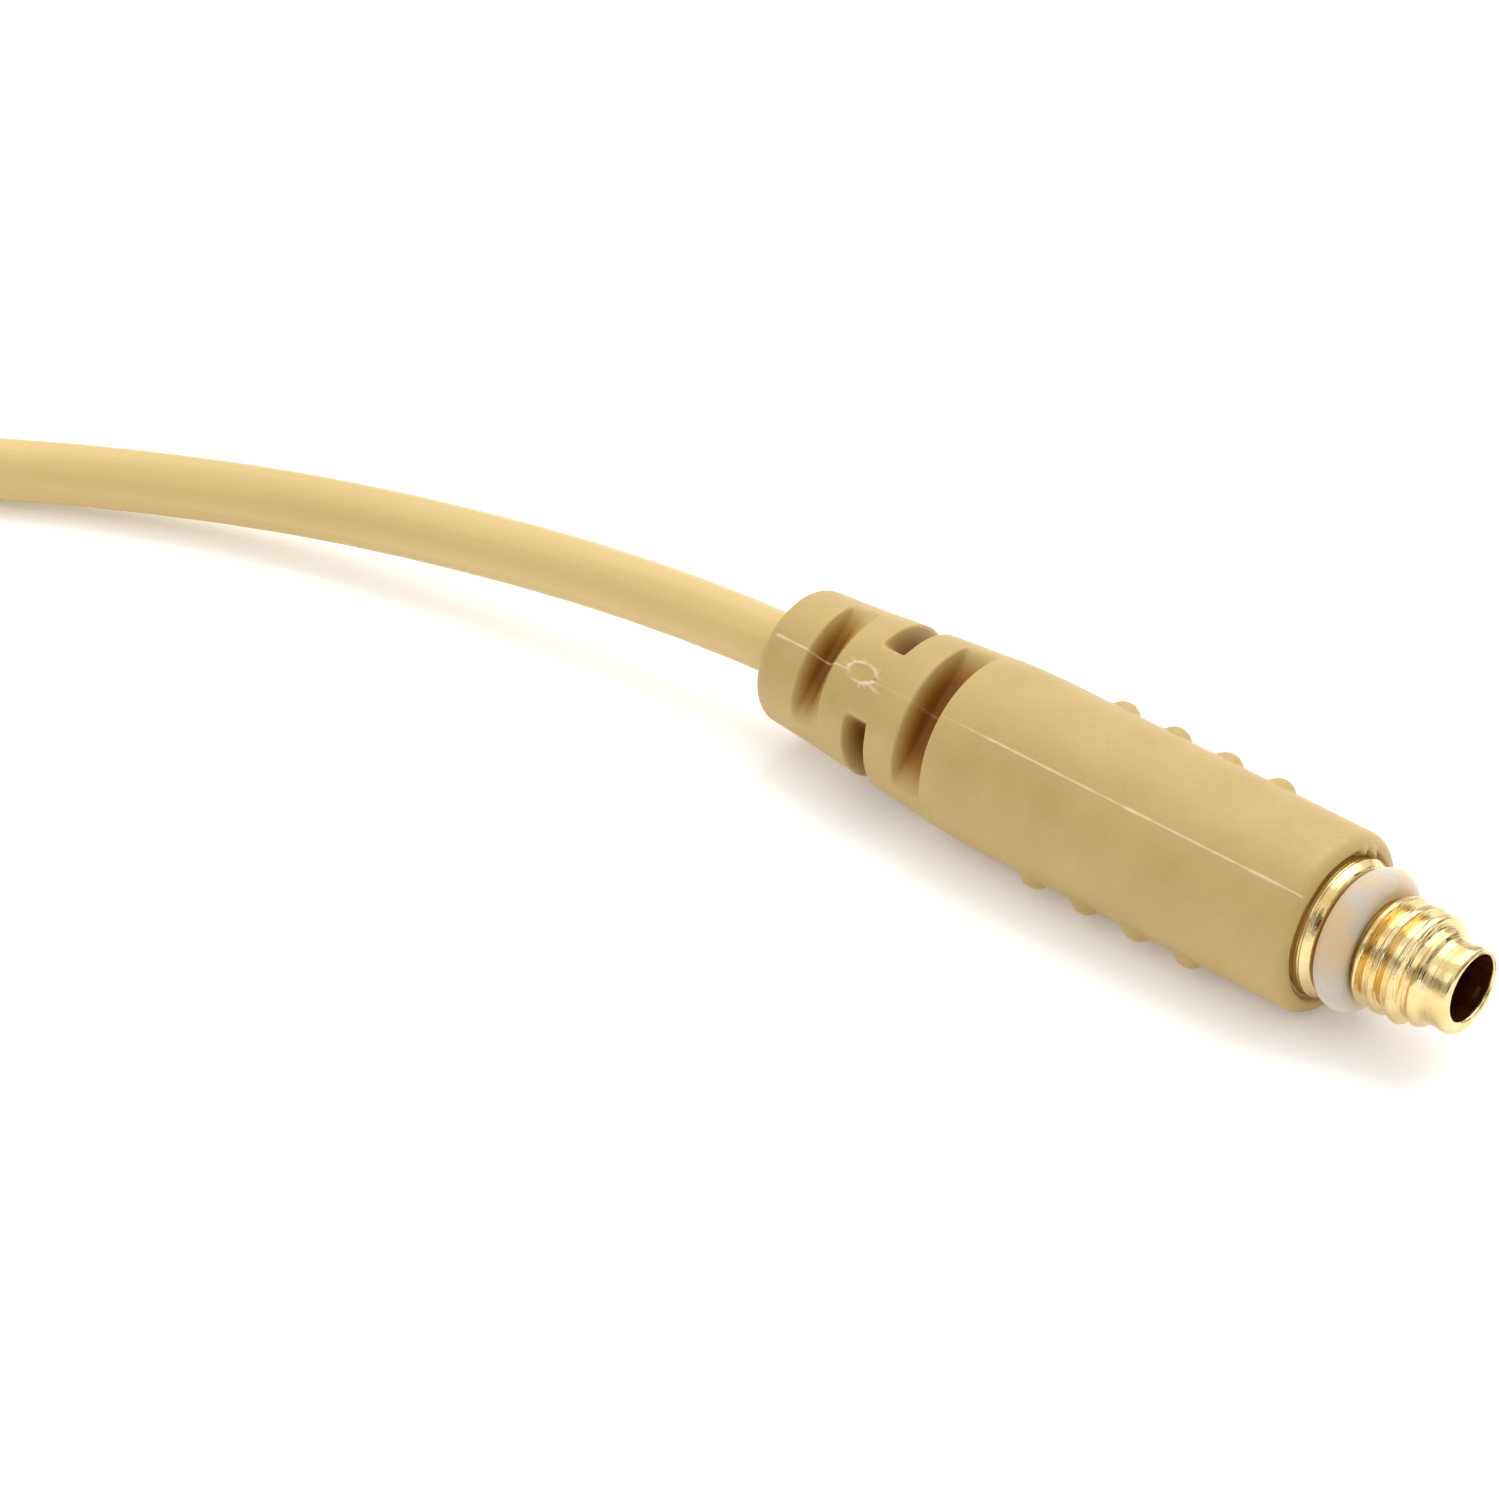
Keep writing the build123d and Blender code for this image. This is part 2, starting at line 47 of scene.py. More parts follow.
# ---- camera, table and light --------------------------------------------------------------------
# A long lens looks down at the cord tip at 36.5 degrees from close by, so the near end of the tip
# is a little larger than the far end. The white table glows weakly, so shadows stay faint.
VIEW_CENTRE = Vector((5.0, -76.0, 0.0)) * MM
VIEW_HEIGHT = math.radians(36.5)
VIEW_DISTANCE = 232 * MM
VIEW_WIDTH = 49.3 * MM               # what the frame spans at the view's centre
SENSOR = 36.0
TABLE_HALF, TABLE_GLOW = 2.0, 0.17
KEY_AT, KEY_SIZE, KEY_WATTS = (0.22, 0.20, 0.62), 0.75, 4.0
FILL_AT, FILL_SIZE, FILL_WATTS = (-0.45, -0.35, 0.45), 0.5, 0.5
ROOM_LIGHT = 1.16

camera = bpy.data.objects.new("camera", bpy.data.cameras.new("camera"))
camera.data.sensor_width = SENSOR
camera.data.lens = SENSOR * VIEW_DISTANCE / VIEW_WIDTH
camera.data.clip_start = 0.01
camera.location = VIEW_CENTRE + VIEW_DISTANCE * Vector((0, -math.cos(VIEW_HEIGHT), math.sin(VIEW_HEIGHT)))
camera.rotation_euler = (math.pi / 2 - VIEW_HEIGHT, 0, 0)
scene.collection.objects.link(camera)
scene.camera = camera
scene.view_settings.view_transform = "Standard"

world = bpy.data.worlds.new("studio")
world.use_nodes = True
scene.world = world


def new_material(name, base=(0.8, 0.8, 0.8), rough=0.5, metal=0.0, **sockets):
    """A Principled material, its node tree and its shader."""
    material = bpy.data.materials.new(name)
    material.use_nodes = True
    shader = material.node_tree.nodes["Principled BSDF"]
    shader.inputs["Base Color"].default_value = (*base, 1)
    shader.inputs["Roughness"].default_value = rough
    shader.inputs["Metallic"].default_value = metal
    for socket, value in sockets.items():
        shader.inputs[socket.replace("_", " ")].default_value = value
    return material, material.node_tree, shader


def add_piece(name, mesh, material=None, smooth=True):
    """Links a mesh or curve as a piece of the object."""
    piece = bpy.data.objects.new(name, mesh)
    scene.collection.objects.link(piece)
    if material:
        mesh.materials.append(material)
    if smooth and hasattr(mesh, "shade_smooth"):
        mesh.shade_smooth()
    return piece


def soft_box(name, place, aim, size, watts):
    """A square area light that faces a point."""
    light = bpy.data.lights.new(name, "AREA")
    light.shape = "SQUARE"
    light.size = size
    light.energy = watts
    lamp = bpy.data.objects.new(name, light)
    lamp.location = place
    lamp.rotation_euler = (Vector(aim) - Vector(place)).to_track_quat("-Z", "Y").to_euler()
    scene.collection.objects.link(lamp)
    return lamp


table_paint, _, _ = new_material("table_white", (0.93, 0.93, 0.93), 0.9,
                                 Emission_Color=(1, 1, 1, 1), Emission_Strength=TABLE_GLOW)
table_mesh = bpy.data.meshes.new("table")
table_corners = [(x * TABLE_HALF, y * TABLE_HALF, 0) for x, y in ((-1, -1), (1, -1), (1, 1), (-1, 1))]
table_mesh.from_pydata(table_corners, [], [(0, 1, 2, 3)])
add_piece("table", table_mesh, table_paint)
soft_box("key_light", KEY_AT, VIEW_CENTRE, KEY_SIZE, KEY_WATTS)
soft_box("fill_light", FILL_AT, VIEW_CENTRE, FILL_SIZE, FILL_WATTS)


def link(tree, source, target):
    tree.links.new(source, target)


def add_node(tree, kind, **values):
    """A shader node with some of its properties or inputs set."""
    node = tree.nodes.new(kind)
    for key, value in values.items():
        if hasattr(node, key):
            setattr(node, key, value)
        else:
            node.inputs[key.replace("_", " ")].default_value = value
    return node


def ramp(tree, source, *stops):
    """A colour ramp's output, from (position, colour) stops."""
    node = add_node(tree, "ShaderNodeValToRGB")
    while len(node.color_ramp.elements) < len(stops):
        node.color_ramp.elements.new(0.5)
    for element, (position, colour) in zip(node.color_ramp.elements, stops):
        element.position = position
        element.color = (*colour, 1)
    link(tree, source, node.inputs["Fac"])
    return node.outputs["Color"]


def mixed(tree, factor, first, second, blend="MIX"):
    """Mixes two colours; each is an output or a plain colour."""
    node = add_node(tree, "ShaderNodeMix", data_type="RGBA", blend_type=blend)
    for socket, value in ((node.inputs["Factor"], factor), (node.inputs[6], first), (node.inputs[7], second)):
        if isinstance(value, bpy.types.NodeSocket):
            link(tree, value, socket)
        else:
            socket.default_value = (*value, 1) if isinstance(value, tuple) else value
    return node.outputs[2]


def light_room(tree, strength):
    """A white room, dark in patches between the horizon and the ceiling, which polished metal mirrors."""
    where = add_node(tree, "ShaderNodeTexCoord")
    patches = add_node(tree, "ShaderNodeTexNoise", Scale=2.6, Detail=2.0)
    height = add_node(tree, "ShaderNodeSeparateXYZ")
    link(tree, where.outputs["Generated"], patches.inputs["Vector"])
    link(tree, where.outputs["Generated"], height.inputs["Vector"])
    white, dark, black = (1, 1, 1), (0.04, 0.04, 0.04), (0, 0, 0)
    edge = ramp(tree, patches.outputs["Fac"], (0.48, white), (0.53, dark))
    band = ramp(tree, height.outputs["Z"], (0.08, white), (0.13, black), (0.60, black), (0.72, white))
    link(tree, mixed(tree, 1.0, edge, band, "LIGHTEN"), tree.nodes["Background"].inputs["Color"])
    tree.nodes["Background"].inputs["Strength"].default_value = strength


light_room(world.node_tree, ROOM_LIGHT)


# ---- the cord -----------------------------------------------------------------------------------
# One length of thin shielded cord from the ear hook's tail, through the clip, round the tied coil
# and into the moulded boot. Its jacket is extruded soft PVC in the same skin tone as the boot.
CORD_D = 2.15 * MM
HOOK_CORD = [(-57.94, -31.80, 1.6), (-57.94, -51.3, 1.6), (-54.2, -59.8, 4.2)]
TIP_CORD = [(-23.4, -60.7, 1.1), (-12.6, -63.24, 1.6), (-4.3, -67.25, 2.35), (3.1, -71.95, 2.95),
            (6.61, -74.84, 3.085)]
COIL_CENTRE = Vector((-48.0, -77.1, 0))
COIL_MEAN_R, COIL_LAYERS, TURNS_A_LAYER = 12.6, 4, 3.5
TURN_PITCH, LAYER_PITCH, COIL_LOW = 2.17, 2.15, 0.5
POINTS_A_TURN = 24


def coil_points():
    """The coil's centreline, from its top layer down: each layer is a flat spiral, in then out."""
    turns = COIL_LAYERS * TURNS_A_LAYER
    half_width = TURN_PITCH * TURNS_A_LAYER / 2
    points = []
    for i in range(int(turns * POINTS_A_TURN) + 1):
        turn = i / POINTS_A_TURN
        layer = min(int(turn / TURNS_A_LAYER), COIL_LAYERS - 1)
        along = turn / TURNS_A_LAYER - layer
        inward = along if layer % 2 == 0 else 1 - along
        radius = COIL_MEAN_R + half_width * (1 - 2 * inward) + 0.04 * math.sin(2.7 * turn)
        radius /= math.cos(math.pi / POINTS_A_TURN)
        step = min(max((along - 0.95) / 0.05, 0), 1) if layer < COIL_LAYERS - 1 else 0
        height = COIL_LOW + CORD_D / MM / 2 + LAYER_PITCH * (COIL_LAYERS - 1 - layer - step)
        angle = math.pi / 2 - 2 * math.pi * turn
        points.append(COIL_CENTRE + Vector((radius * math.cos(angle), radius * math.sin(angle), height)))
    return points


cord_curve = bpy.data.curves.new("cord", "CURVE")
cord_curve.dimensions = "3D"
cord_line = cord_curve.splines.new("NURBS")
cord_route = [Vector(p) * MM for p in HOOK_CORD + coil_points() + TIP_CORD]
cord_line.points.add(len(cord_route) - 1)
for point, place in zip(cord_line.points, cord_route):
    point.co = (*place, 1)
    point.radius = CORD_D / 2            # a point's radius counts in the bounds, so it is the true one
cord_line.order_u = 3
cord_line.use_endpoint_u = True
cord_line.resolution_u = 4
cord_curve.bevel_depth = 1.0
cord_curve.bevel_resolution = 6


def fit(piece, body, slot, *nodes):
    """Puts a piece on its body in place of the CAD nodes that it stands for; the slot is not used."""
    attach(piece, body)
    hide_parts(*nodes)


cord = add_piece("cord", cord_curve)
fit(cord, "headset", "cord_jacket", "cord_hook_end", "cord_coil", "cord_tip_end")


# ---- the tip's own frame ------------------------------------------------------------------------
# Local X runs along the tip from the boot's rear face, local Z is the mould's parting direction and
# local Y the direction of the grip bumps. Its meshes are worked out there in millimetres.
TIP_REAR = Vector((6.61, -74.84, 3.085))
TIP_TURN, TIP_ROLL = math.radians(-41.0), math.radians(48.5)
BOOT_R, BOOT_L = 3.085, 22.2

tip_along = Vector((math.cos(TIP_TURN), math.sin(TIP_TURN), 0))
tip_side = Vector((math.sin(TIP_TURN), -math.cos(TIP_TURN), 0))
tip_parting = tip_side * math.cos(TIP_ROLL) + Vector((0, 0, math.sin(TIP_ROLL)))
tip_grip = tip_parting.cross(tip_along)


def tip_point(t, y, z):
    """A point of the tip's frame, in metres."""
    return (TIP_REAR + t * tip_along + y * tip_grip + z * tip_parting) * MM


def smooth_step(value, low, high):
    """0 below low, 1 above high, and a smooth rise between."""
    share = min(max((value - low) / (high - low), 0.0), 1.0)
    return share * share * (3 - 2 * share)


def spread(low, high, step):
    """Evenly spaced values from low up to, but not including, high."""
    count = max(1, round((high - low) / step))
    return [low + (high - low) * i / count for i in range(count)]


def turn_angles(count):
    """Angles evenly spaced over one turn."""
    return [2 * math.pi * i / count for i in range(count)]


def ring_mesh(name, stations, angles, place, marks=(), place_point=tip_point):
    """A skin of closed rings. place(station, angle) gives the point and the value of each mark."""
    mesh = bpy.data.meshes.new(name)
    points, values = [], []
    for station in stations:
        for angle in angles:
            point, *value = place(station, angle)
            points.append(place_point(*point))
            values.append(value)
    faces = []
    count = len(angles)
    for i in range(len(stations) - 1):
        for j in range(count):
            k = (j + 1) % count
            faces.append((i * count + j, i * count + k, (i + 1) * count + k, (i + 1) * count + j))
    mesh.from_pydata(points, [], faces)
    for m, mark in enumerate(marks):
        layer = mesh.attributes.new(mark, "FLOAT", "POINT")
        layer.data.foreach_set("value", [v[m] for v in values])
    mesh.update()
    return mesh


# ---- boot ---------------------------------------------------------------------------------------
# Strain relief and grip moulded in one soft skin-tone shot over the cord and the gold body: slots on
# alternate sides let its rear bend, two rows of bumps give grip, and a thin flash marks the parting.
BOOT_SWELL = [(0.0, 2.33), (2.3, 2.50), (3.7, 2.64), (5.6, 2.81), (7.0, 2.93), (8.1, 3.03), (9.6, BOOT_R)]
BOOT_EDGE = 0.45
# each slot: rear wall, where its floor starts to rise, front edge, floor height, whether it is cut on the
# parting side, and how late its floor rises
SLOTS = [(1.84, 2.15, 3.02, 1.34, True, 0.9), (4.12, 4.90, 5.10, 1.24, False, 2.0),
         (6.40, 6.85, 7.66, 1.42, True, 2.2)]
BUMP_T, BUMP_PITCH, BUMPS, BUMP_R, BUMP_H = 11.83, 2.08, 4, 0.5, 0.28
GATE_T, GATE_ARC, GATE_LONG, GATE_WIDE = 4.13, 0.10, 0.58, 0.32


def boot_radius(t):
    """The boot's plain radius, by a smooth curve through its swell."""
    if t >= BOOT_SWELL[-1][0]:
        return BOOT_R
    spans = [BOOT_SWELL[0], *BOOT_SWELL, (BOOT_SWELL[-1][0] + 1.4, BOOT_R)]
    i = max(k for k in range(1, len(spans) - 2) if spans[k][0] <= max(t, 0))
    (t1, r1), (t2, r2) = spans[i], spans[i + 1]
    before, after = spans[i - 1], spans[i + 2]
    slope1 = (r2 - before[1]) / max(t2 - before[0], 1e-6)
    slope2 = (after[1] - r1) / (after[0] - t1)
    u, span = (t - t1) / (t2 - t1), t2 - t1
    return ((2 * u ** 3 - 3 * u ** 2 + 1) * r1 + (u ** 3 - 2 * u ** 2 + u) * slope1 * span
            + (3 * u ** 2 - 2 * u ** 3) * r2 + (u ** 3 - u ** 2) * slope2 * span)


def slot_cut(t, angle, radius):
    """The radius left by the slots: a rounded rear rim, an upright wall and a floor that climbs forward."""
    left = radius
    for start, flat, end, floor, parting, late in SLOTS:
        across = max(abs(math.cos(angle)) if parting else abs(math.sin(angle)), 0.05)
        gap = radius - floor / across
        if gap < -0.3 or not start - 0.1 < t < end + 0.05:
            continue
        gap = 0.5 * (gap + math.sqrt(gap * gap + 0.01)) - 0.01
        climb = 1 - min(max((t - flat) / (end - flat), 0), 1) ** late
        wall = smooth_step(t, start - 0.07, start + 0.11)
        left = min(left, radius - max(gap, 0) * wall * climb * (1 - smooth_step(t, end - 0.12, end + 0.02)))
    return left


def boot_marks(t, angle, radius):
    """Height of the bumps, the flash and the gate mark, and how pale the flash is."""
    height, pale = 0.0, 0.0
    turn = (angle + math.pi) % (2 * math.pi) - math.pi
    off_grip = (abs(turn) - math.pi / 2) * BOOT_R
    for i in range(BUMPS):
        reach = math.hypot(t - BUMP_T - i * BUMP_PITCH, off_grip)
        if reach < BUMP_R * 1.25:
            sphere = (BUMP_R ** 2 + BUMP_H ** 2) / (2 * BUMP_H)
            cap = math.sqrt(max(sphere ** 2 - reach ** 2, 0)) - (sphere - BUMP_H)
            cap = max(0.5 * (cap + math.sqrt(cap * cap + 0.0016)), 0)
            height += cap * (1 - smooth_step(reach, 0.5, 0.62))
    arc = min(abs(turn), math.pi - abs(turn)) * radius
    wander = 0.03 * noise.noise(Vector((t * 0.8, 0, 3)))
    thin = 0.25 + 0.75 * smooth_step(abs(t - 6.6), 1.6, 3.6)
    ragged = 0.75 + 0.7 * noise.noise(Vector((t * 2.3, 1, 1)))
    flash = math.exp(-((arc - wander) / 0.035) ** 2) * thin * max(ragged, 0)
    if abs(turn) < 0.6:
        side = turn * radius
        oval = math.hypot((t - GATE_T) / GATE_LONG, (side - GATE_ARC) / GATE_WIDE)
        flash *= smooth_step(oval, 1.0, 1.3)
        rough = max(0.75 + 1.1 * noise.noise(Vector((t * 4, side * 4, 7))), 0.1)
        rim = math.exp(-((oval - 1) / 0.13) ** 2) * rough
        bearing = math.atan2(side - GATE_ARC, t - GATE_T)
        rays = max(noise.noise(Vector((math.cos(bearing) * 6, math.sin(bearing) * 6, 2))) * 2.0, 0)
        uneven = 0.6 + noise.noise(Vector((t * 5, side * 5, 3)))
        rays *= smooth_step(abs(bearing + 2.4) % math.pi, 0.2, 1.2) * uneven
        torn = rays * (1 - smooth_step(oval, 1.2, 1.75)) * smooth_step(oval, 0.85, 1.1)
        tail = math.exp(-((side + 0.16 + 0.25 * (t - 4.6)) / 0.05) ** 2)
        tail *= smooth_step(t, 4.3, 4.5) * (1 - smooth_step(t, 4.8, 5.3))
        pinhole = math.exp(-(math.hypot(t - GATE_T - 0.56, side - GATE_ARC + 0.02) / 0.06) ** 2)
        height += 0.045 * rim + 0.022 * torn + 0.02 * tail - 0.015 * (1 - smooth_step(oval, 0.5, 0.9))
        height -= 0.08 * pinhole
        pale += min(0.95 * rim + 0.6 * torn + 0.7 * tail, 1) * (1 - pinhole)
    height += 0.035 * flash
    pale += min(flash, 1)
    return height, pale


def boot_place(station, angle):
    """A point of the boot's skin, with how deep it lies in a slot and how pale its flash is."""
    t, radius, worked = station
    deep, pale = 0.0, 0.0
    if t > BOOT_L - 0.35 and radius < 2.65:
        torn = math.exp(-((angle - 1.32) / 0.07) ** 2) + 0.6 * math.exp(-((angle - 1.12) / 0.05) ** 2)
        radius += 0.035 * noise.noise(Vector((math.cos(angle) * 4, math.sin(angle) * 4, t * 3))) - 0.16 * torn
        t += 0.22 * torn
    if worked:
        left = slot_cut(t, angle, radius)
        deep = radius - left
        rise, pale = boot_marks(t, angle, left)
        radius = left + rise
    return (t, radius * math.sin(angle), radius * math.cos(angle)), deep, pale


def boot_stations():
    """(t, radius, whether slots and marks apply), from the cord's hole round to the recess."""
    edge = [math.radians(a) for a in range(0, 91, 15)]
    rear = [(0.35, 1.07, False), (0.08, 1.09, False), (0.0, 1.16, False), (0.0, 1.5, False)]
    rear += [(BOOT_EDGE * (1 - math.sin(a)), boot_radius(BOOT_EDGE) - BOOT_EDGE * (1 - math.cos(a)), False)
             for a in reversed(edge)]
    rear[-1] = (BOOT_EDGE, boot_radius(BOOT_EDGE), True)
    along = spread(0.55, 1.6, 0.08) + spread(1.6, 8.0, 0.034) + spread(8.0, 11.1, 0.25)
    along += spread(11.1, 18.8, 0.065) + spread(18.8, BOOT_L - BOOT_EDGE + 0.01, 0.2)
    body = [(t, boot_radius(t), True) for t in along]
    front = [(BOOT_L - BOOT_EDGE * (1 - math.sin(a)), BOOT_R - BOOT_EDGE * (1 - math.cos(a)), a < 0.9)
             for a in edge]
    lip = [(BOOT_L - back, r, False) for back, r in (
        (0, 2.62), (0.05, 2.54), (0.16, 2.50), (0.20, 2.46), (0.14, 2.42), (0.16, 2.385), (0.26, 2.37))]
    return rear + body + front + lip


def boot_angles():
    """Finer at the parting line and under the bumps, coarser between."""
    stops = [(-180, 0.5), (-176, 1.2), (-168, 2.0), (-104, 1.0), (-76, 2.0), (-20, 1.0), (-5, 0.45),
             (5, 0.8), (20, 2.0), (76, 1.0), (104, 2.0), (168, 1.2), (176, 0.5)]
    degrees = []
    for (low, step), (high, _) in zip(stops, stops[1:] + [(180, 0)]):
        degrees += spread(low, high, step)
    return [math.radians(d) for d in degrees]


boot_mesh = ring_mesh("boot", boot_stations(), boot_angles(), boot_place, ("deep", "pale"))


def object_noise(tree, scale, detail=4.0, stretch=None):
    """A noise's output in Object coordinates, its scale in lumps a millimetre."""
    where = add_node(tree, "ShaderNodeTexCoord")
    shrink = add_node(tree, "ShaderNodeMapping")
    shrink.inputs["Scale"].default_value = stretch or (1, 1, 1)
    grain = add_node(tree, "ShaderNodeTexNoise", Scale=scale / MM, Detail=detail)
    link(tree, where.outputs["Object"], shrink.inputs["Vector"])
    link(tree, shrink.outputs["Vector"], grain.inputs["Vector"])
    return grain.outputs["Fac"]


def bumped(tree, shader, *layers):
    """Adds bump layers of (height output, strength, distance in mm)."""
    below = None
    for height, strength, distance in layers:
        bump = add_node(tree, "ShaderNodeBump", Strength=strength, Distance=distance * MM)
        link(tree, height, bump.inputs["Height"])
        if below:
            link(tree, below.outputs["Normal"], bump.inputs["Normal"])
        below = bump
    link(tree, below.outputs["Normal"], shader.inputs["Normal"])


def coloured(tree, shader, source, *stops):
    """Drives the base colour by a ramp over a noise."""
    link(tree, ramp(tree, source, *stops), shader.inputs["Base Color"])


def roughened(tree, shader, source, low, high):
    """Drives the roughness by a noise; low and high are (position, roughness)."""
    stops = [(position, (value,) * 3) for position, value in (low, high)]
    link(tree, ramp(tree, source, *stops), shader.inputs["Roughness"])


def attribute(tree, name):
    return add_node(tree, "ShaderNodeAttribute", attribute_name=name).outputs["Fac"]


def skin_rubber():
    """Matte skin-tone moulding: fine mould grain, faint mottling, and painted shade deep in the slots, darker
    and more amber the deeper.
    """
    material, tree, shader = new_material("skin_rubber", (0.455, 0.312, 0.106), 0.5, Subsurface_Weight=0.2,
                                          Subsurface_Radius=(0.7, 0.4, 0.14), Subsurface_Scale=1.0 * MM)
    mottle = object_noise(tree, 0.45, 3.0)
    tone = ramp(tree, mottle, (0.3, (0.435, 0.295, 0.096)), (0.7, (0.485, 0.335, 0.120)))
    speck = object_noise(tree, 9.0, 2.0)
    fleck = ramp(tree, speck, (0.35, (0, 0, 0)), (0.75, (0.16, 0.16, 0.16)))
    colour = mixed(tree, fleck, tone, (0.54, 0.41, 0.20))
    # painted shade: the deeper a point lies in a slot, the darker and more amber its colour, standing in for
    # the shade and warm bounce light there
    slot_painted_shade = ramp(tree, attribute(tree, "deep"), (0.15, (1, 1, 1)), (0.7, (0.66, 0.42, 0.12)),
                 (1.3, (0.48, 0.24, 0.04)))
    colour = mixed(tree, 1.0, colour, slot_painted_shade, "MULTIPLY")
    colour = mixed(tree, attribute(tree, "pale"), colour, (0.68, 0.54, 0.36))
    link(tree, colour, shader.inputs["Base Color"])
    grain = object_noise(tree, 14.0, 3.0)
    streaks = object_noise(tree, 2.2, 2.0, (1.0, 6.0, 1.0))
    roughened(tree, shader, streaks, (0.3, 0.44), (0.7, 0.56))
    bumped(tree, shader, (grain, 0.4, 0.014), (streaks, 0.12, 0.02))
    return material


def cord_jacket():
    """Extruded soft PVC: a satin skin with faint draw lines along it and a slow change of tone."""
    material, tree, shader = new_material("cord_jacket", (0.53, 0.38, 0.16), 0.5, Subsurface_Weight=0.12,
                                          Subsurface_Radius=(0.6, 0.4, 0.2), Subsurface_Scale=0.8 * MM)
    where = add_node(tree, "ShaderNodeTexCoord")
    stretch = add_node(tree, "ShaderNodeMapping")
    stretch.inputs["Scale"].default_value = (160, 14, 1)
    lines = add_node(tree, "ShaderNodeTexNoise", Scale=1.0, Detail=3.0)
    link(tree, where.outputs["UV"], stretch.inputs["Vector"])
    link(tree, stretch.outputs["Vector"], lines.inputs["Vector"])
    slow = object_noise(tree, 0.12, 3.0)
    tone = ramp(tree, slow, (0.3, (0.59, 0.425, 0.165)), (0.7, (0.635, 0.46, 0.19)))
    streak = ramp(tree, lines.outputs["Fac"], (0.35, (0.93, 0.93, 0.93)), (0.65, (1, 1, 1)))
    link(tree, mixed(tree, 1.0, tone, streak, "MULTIPLY"),
         shader.inputs["Base Color"])
    grain = object_noise(tree, 9.0, 3.0)
    bumped(tree, shader, (lines.outputs["Fac"], 0.15, 0.02), (grain, 0.2, 0.012))
    return material


cord_paint = cord_jacket()
cord_curve.materials.append(cord_paint)
boot = add_piece("boot", boot_mesh, skin_rubber())
fit(boot, "headset", "skin_rubber", "boot_overmould")


# ---- gold connector body ------------------------------------------------------------------------
# Turned brass with a gold flash: a flange sunk in the boot's front, a neck for the sealing ring, about
# three turns of worn M4 x 0.7 thread and a thin-walled nose round an open bore.
FLANGE_R, FLANGE_FRONT, RING_SEAT = 2.375, 22.7, 1.27
THREAD_R, THREAD_PITCH, THREAD_DEPTH = 1.93, 0.7, 0.33
THREAD_START, THREAD_END = 23.80, 26.05
NOSE_END, BORE_R, BORE_SHIFT, BORE_FLOOR = 27.25, 1.135, 0.12, 23.6
BORE_BANDS = 5                       # the last bands of faces, which are the bore's wall, painted near-black as its shade


def thread_radius(t, angle):
    """A worn V thread with narrow crests, whose start and end run out over half a turn."""
    phase = ((t - THREAD_START) / THREAD_PITCH - angle / (2 * math.pi)) % 1.0
    rise = 1 - abs(2 * phase - 1)
    crest = smooth_step(rise, 0.25, 0.8)
    scuff = noise.noise(Vector((t * 3, math.sin(angle) * 3, math.cos(angle) * 3)))
    lead = smooth_step(t, THREAD_START - 0.05, THREAD_START + 0.35)
    lead *= 1 - smooth_step(t, THREAD_END - 0.5, THREAD_END + 0.15)
    edge = 0.03 * math.exp(-((rise - 0.62) / 0.05) ** 2)
    height = THREAD_DEPTH * crest * (0.95 + 0.1 * scuff) - edge
    return THREAD_R - THREAD_DEPTH + height * (0.2 + 0.8 * lead)


def body_place(station, angle):
    """A point of the gold body's skin, and how far along it lies."""
    t, radius, shift, threaded = station
    if threaded:
        radius = thread_radius(t, angle)
    radius += 0.010 * noise.noise(Vector((t * 3, math.sin(angle) * 3, math.cos(angle) * 3 + 5)))
    return (t, radius * math.sin(angle) + shift, radius * math.cos(angle)), t


def body_stations():
    """(t, radius, sideways shift, threaded) from inside the boot, over the nose and down the bore."""
    flange = [(21.6, 1.7), (21.62, FLANGE_R - 0.05), (21.7, FLANGE_R), (22.2, FLANGE_R), (22.40, FLANGE_R),
              (22.43, FLANGE_R - 0.005), (22.60, FLANGE_R - 0.13), (22.64, FLANGE_R - 0.15),
              (22.68, FLANGE_R - 0.19), (FLANGE_FRONT, FLANGE_R - 0.24), (FLANGE_FRONT, RING_SEAT + 0.1),
              (FLANGE_FRONT + 0.05, RING_SEAT), (THREAD_START - 0.1, RING_SEAT)]
    stations = [(t, r, 0, False) for t, r in flange]
    stations += [(t, 0, 0, True) for t in spread(THREAD_START - 0.02, THREAD_END + 0.1, 0.022)]
    nose = [(THREAD_END + 0.14, 1.56), (THREAD_END + 0.22, 1.47), (THREAD_END + 0.30, 1.43), (26.55, 1.43),
            (26.8, 1.45), (26.95, 1.465), (27.05, 1.465), (27.12, 1.45), (27.18, 1.42), (27.22, 1.38),
            (NOSE_END, 1.32)]
    stations += [(t, r, -0.03, False) for t, r in nose]
    bore = [(NOSE_END, BORE_R + 0.07), (NOSE_END - 0.02, BORE_R + 0.03), (NOSE_END - 0.07, BORE_R + 0.005),
            (NOSE_END - 0.12, BORE_R), (26.6, BORE_R), (25.4, BORE_R), (24.2, BORE_R), (BORE_FLOOR, BORE_R)]
    return stations + [(t, r, BORE_SHIFT, False) for t, r in bore]


def gold_plate():
    """Bright thin gold over turned brass: fine tool lines round the axis, small pits and pale wear."""
    material, tree, shader = new_material("gold_plate", (0.72, 0.54, 0.25), 0.12, 1.0)
    cloud = object_noise(tree, 1.1, 4.0)
    coloured(tree, shader, cloud, (0.3, (0.69, 0.485, 0.185)), (0.7, (0.80, 0.64, 0.36)))
    roughened(tree, shader, object_noise(tree, 2.5, 3.0), (0.3, 0.08), (0.75, 0.22))
    pits = object_noise(tree, 5.0, 4.0)
    lines = add_node(tree, "ShaderNodeTexNoise", noise_dimensions="1D", Scale=16.0, Detail=3.0)
    link(tree, attribute(tree, "along"), lines.inputs["W"])
    bumped(tree, shader, (pits, 0.35, 0.03), (lines.outputs["Fac"], 0.5, 0.03))
    return material


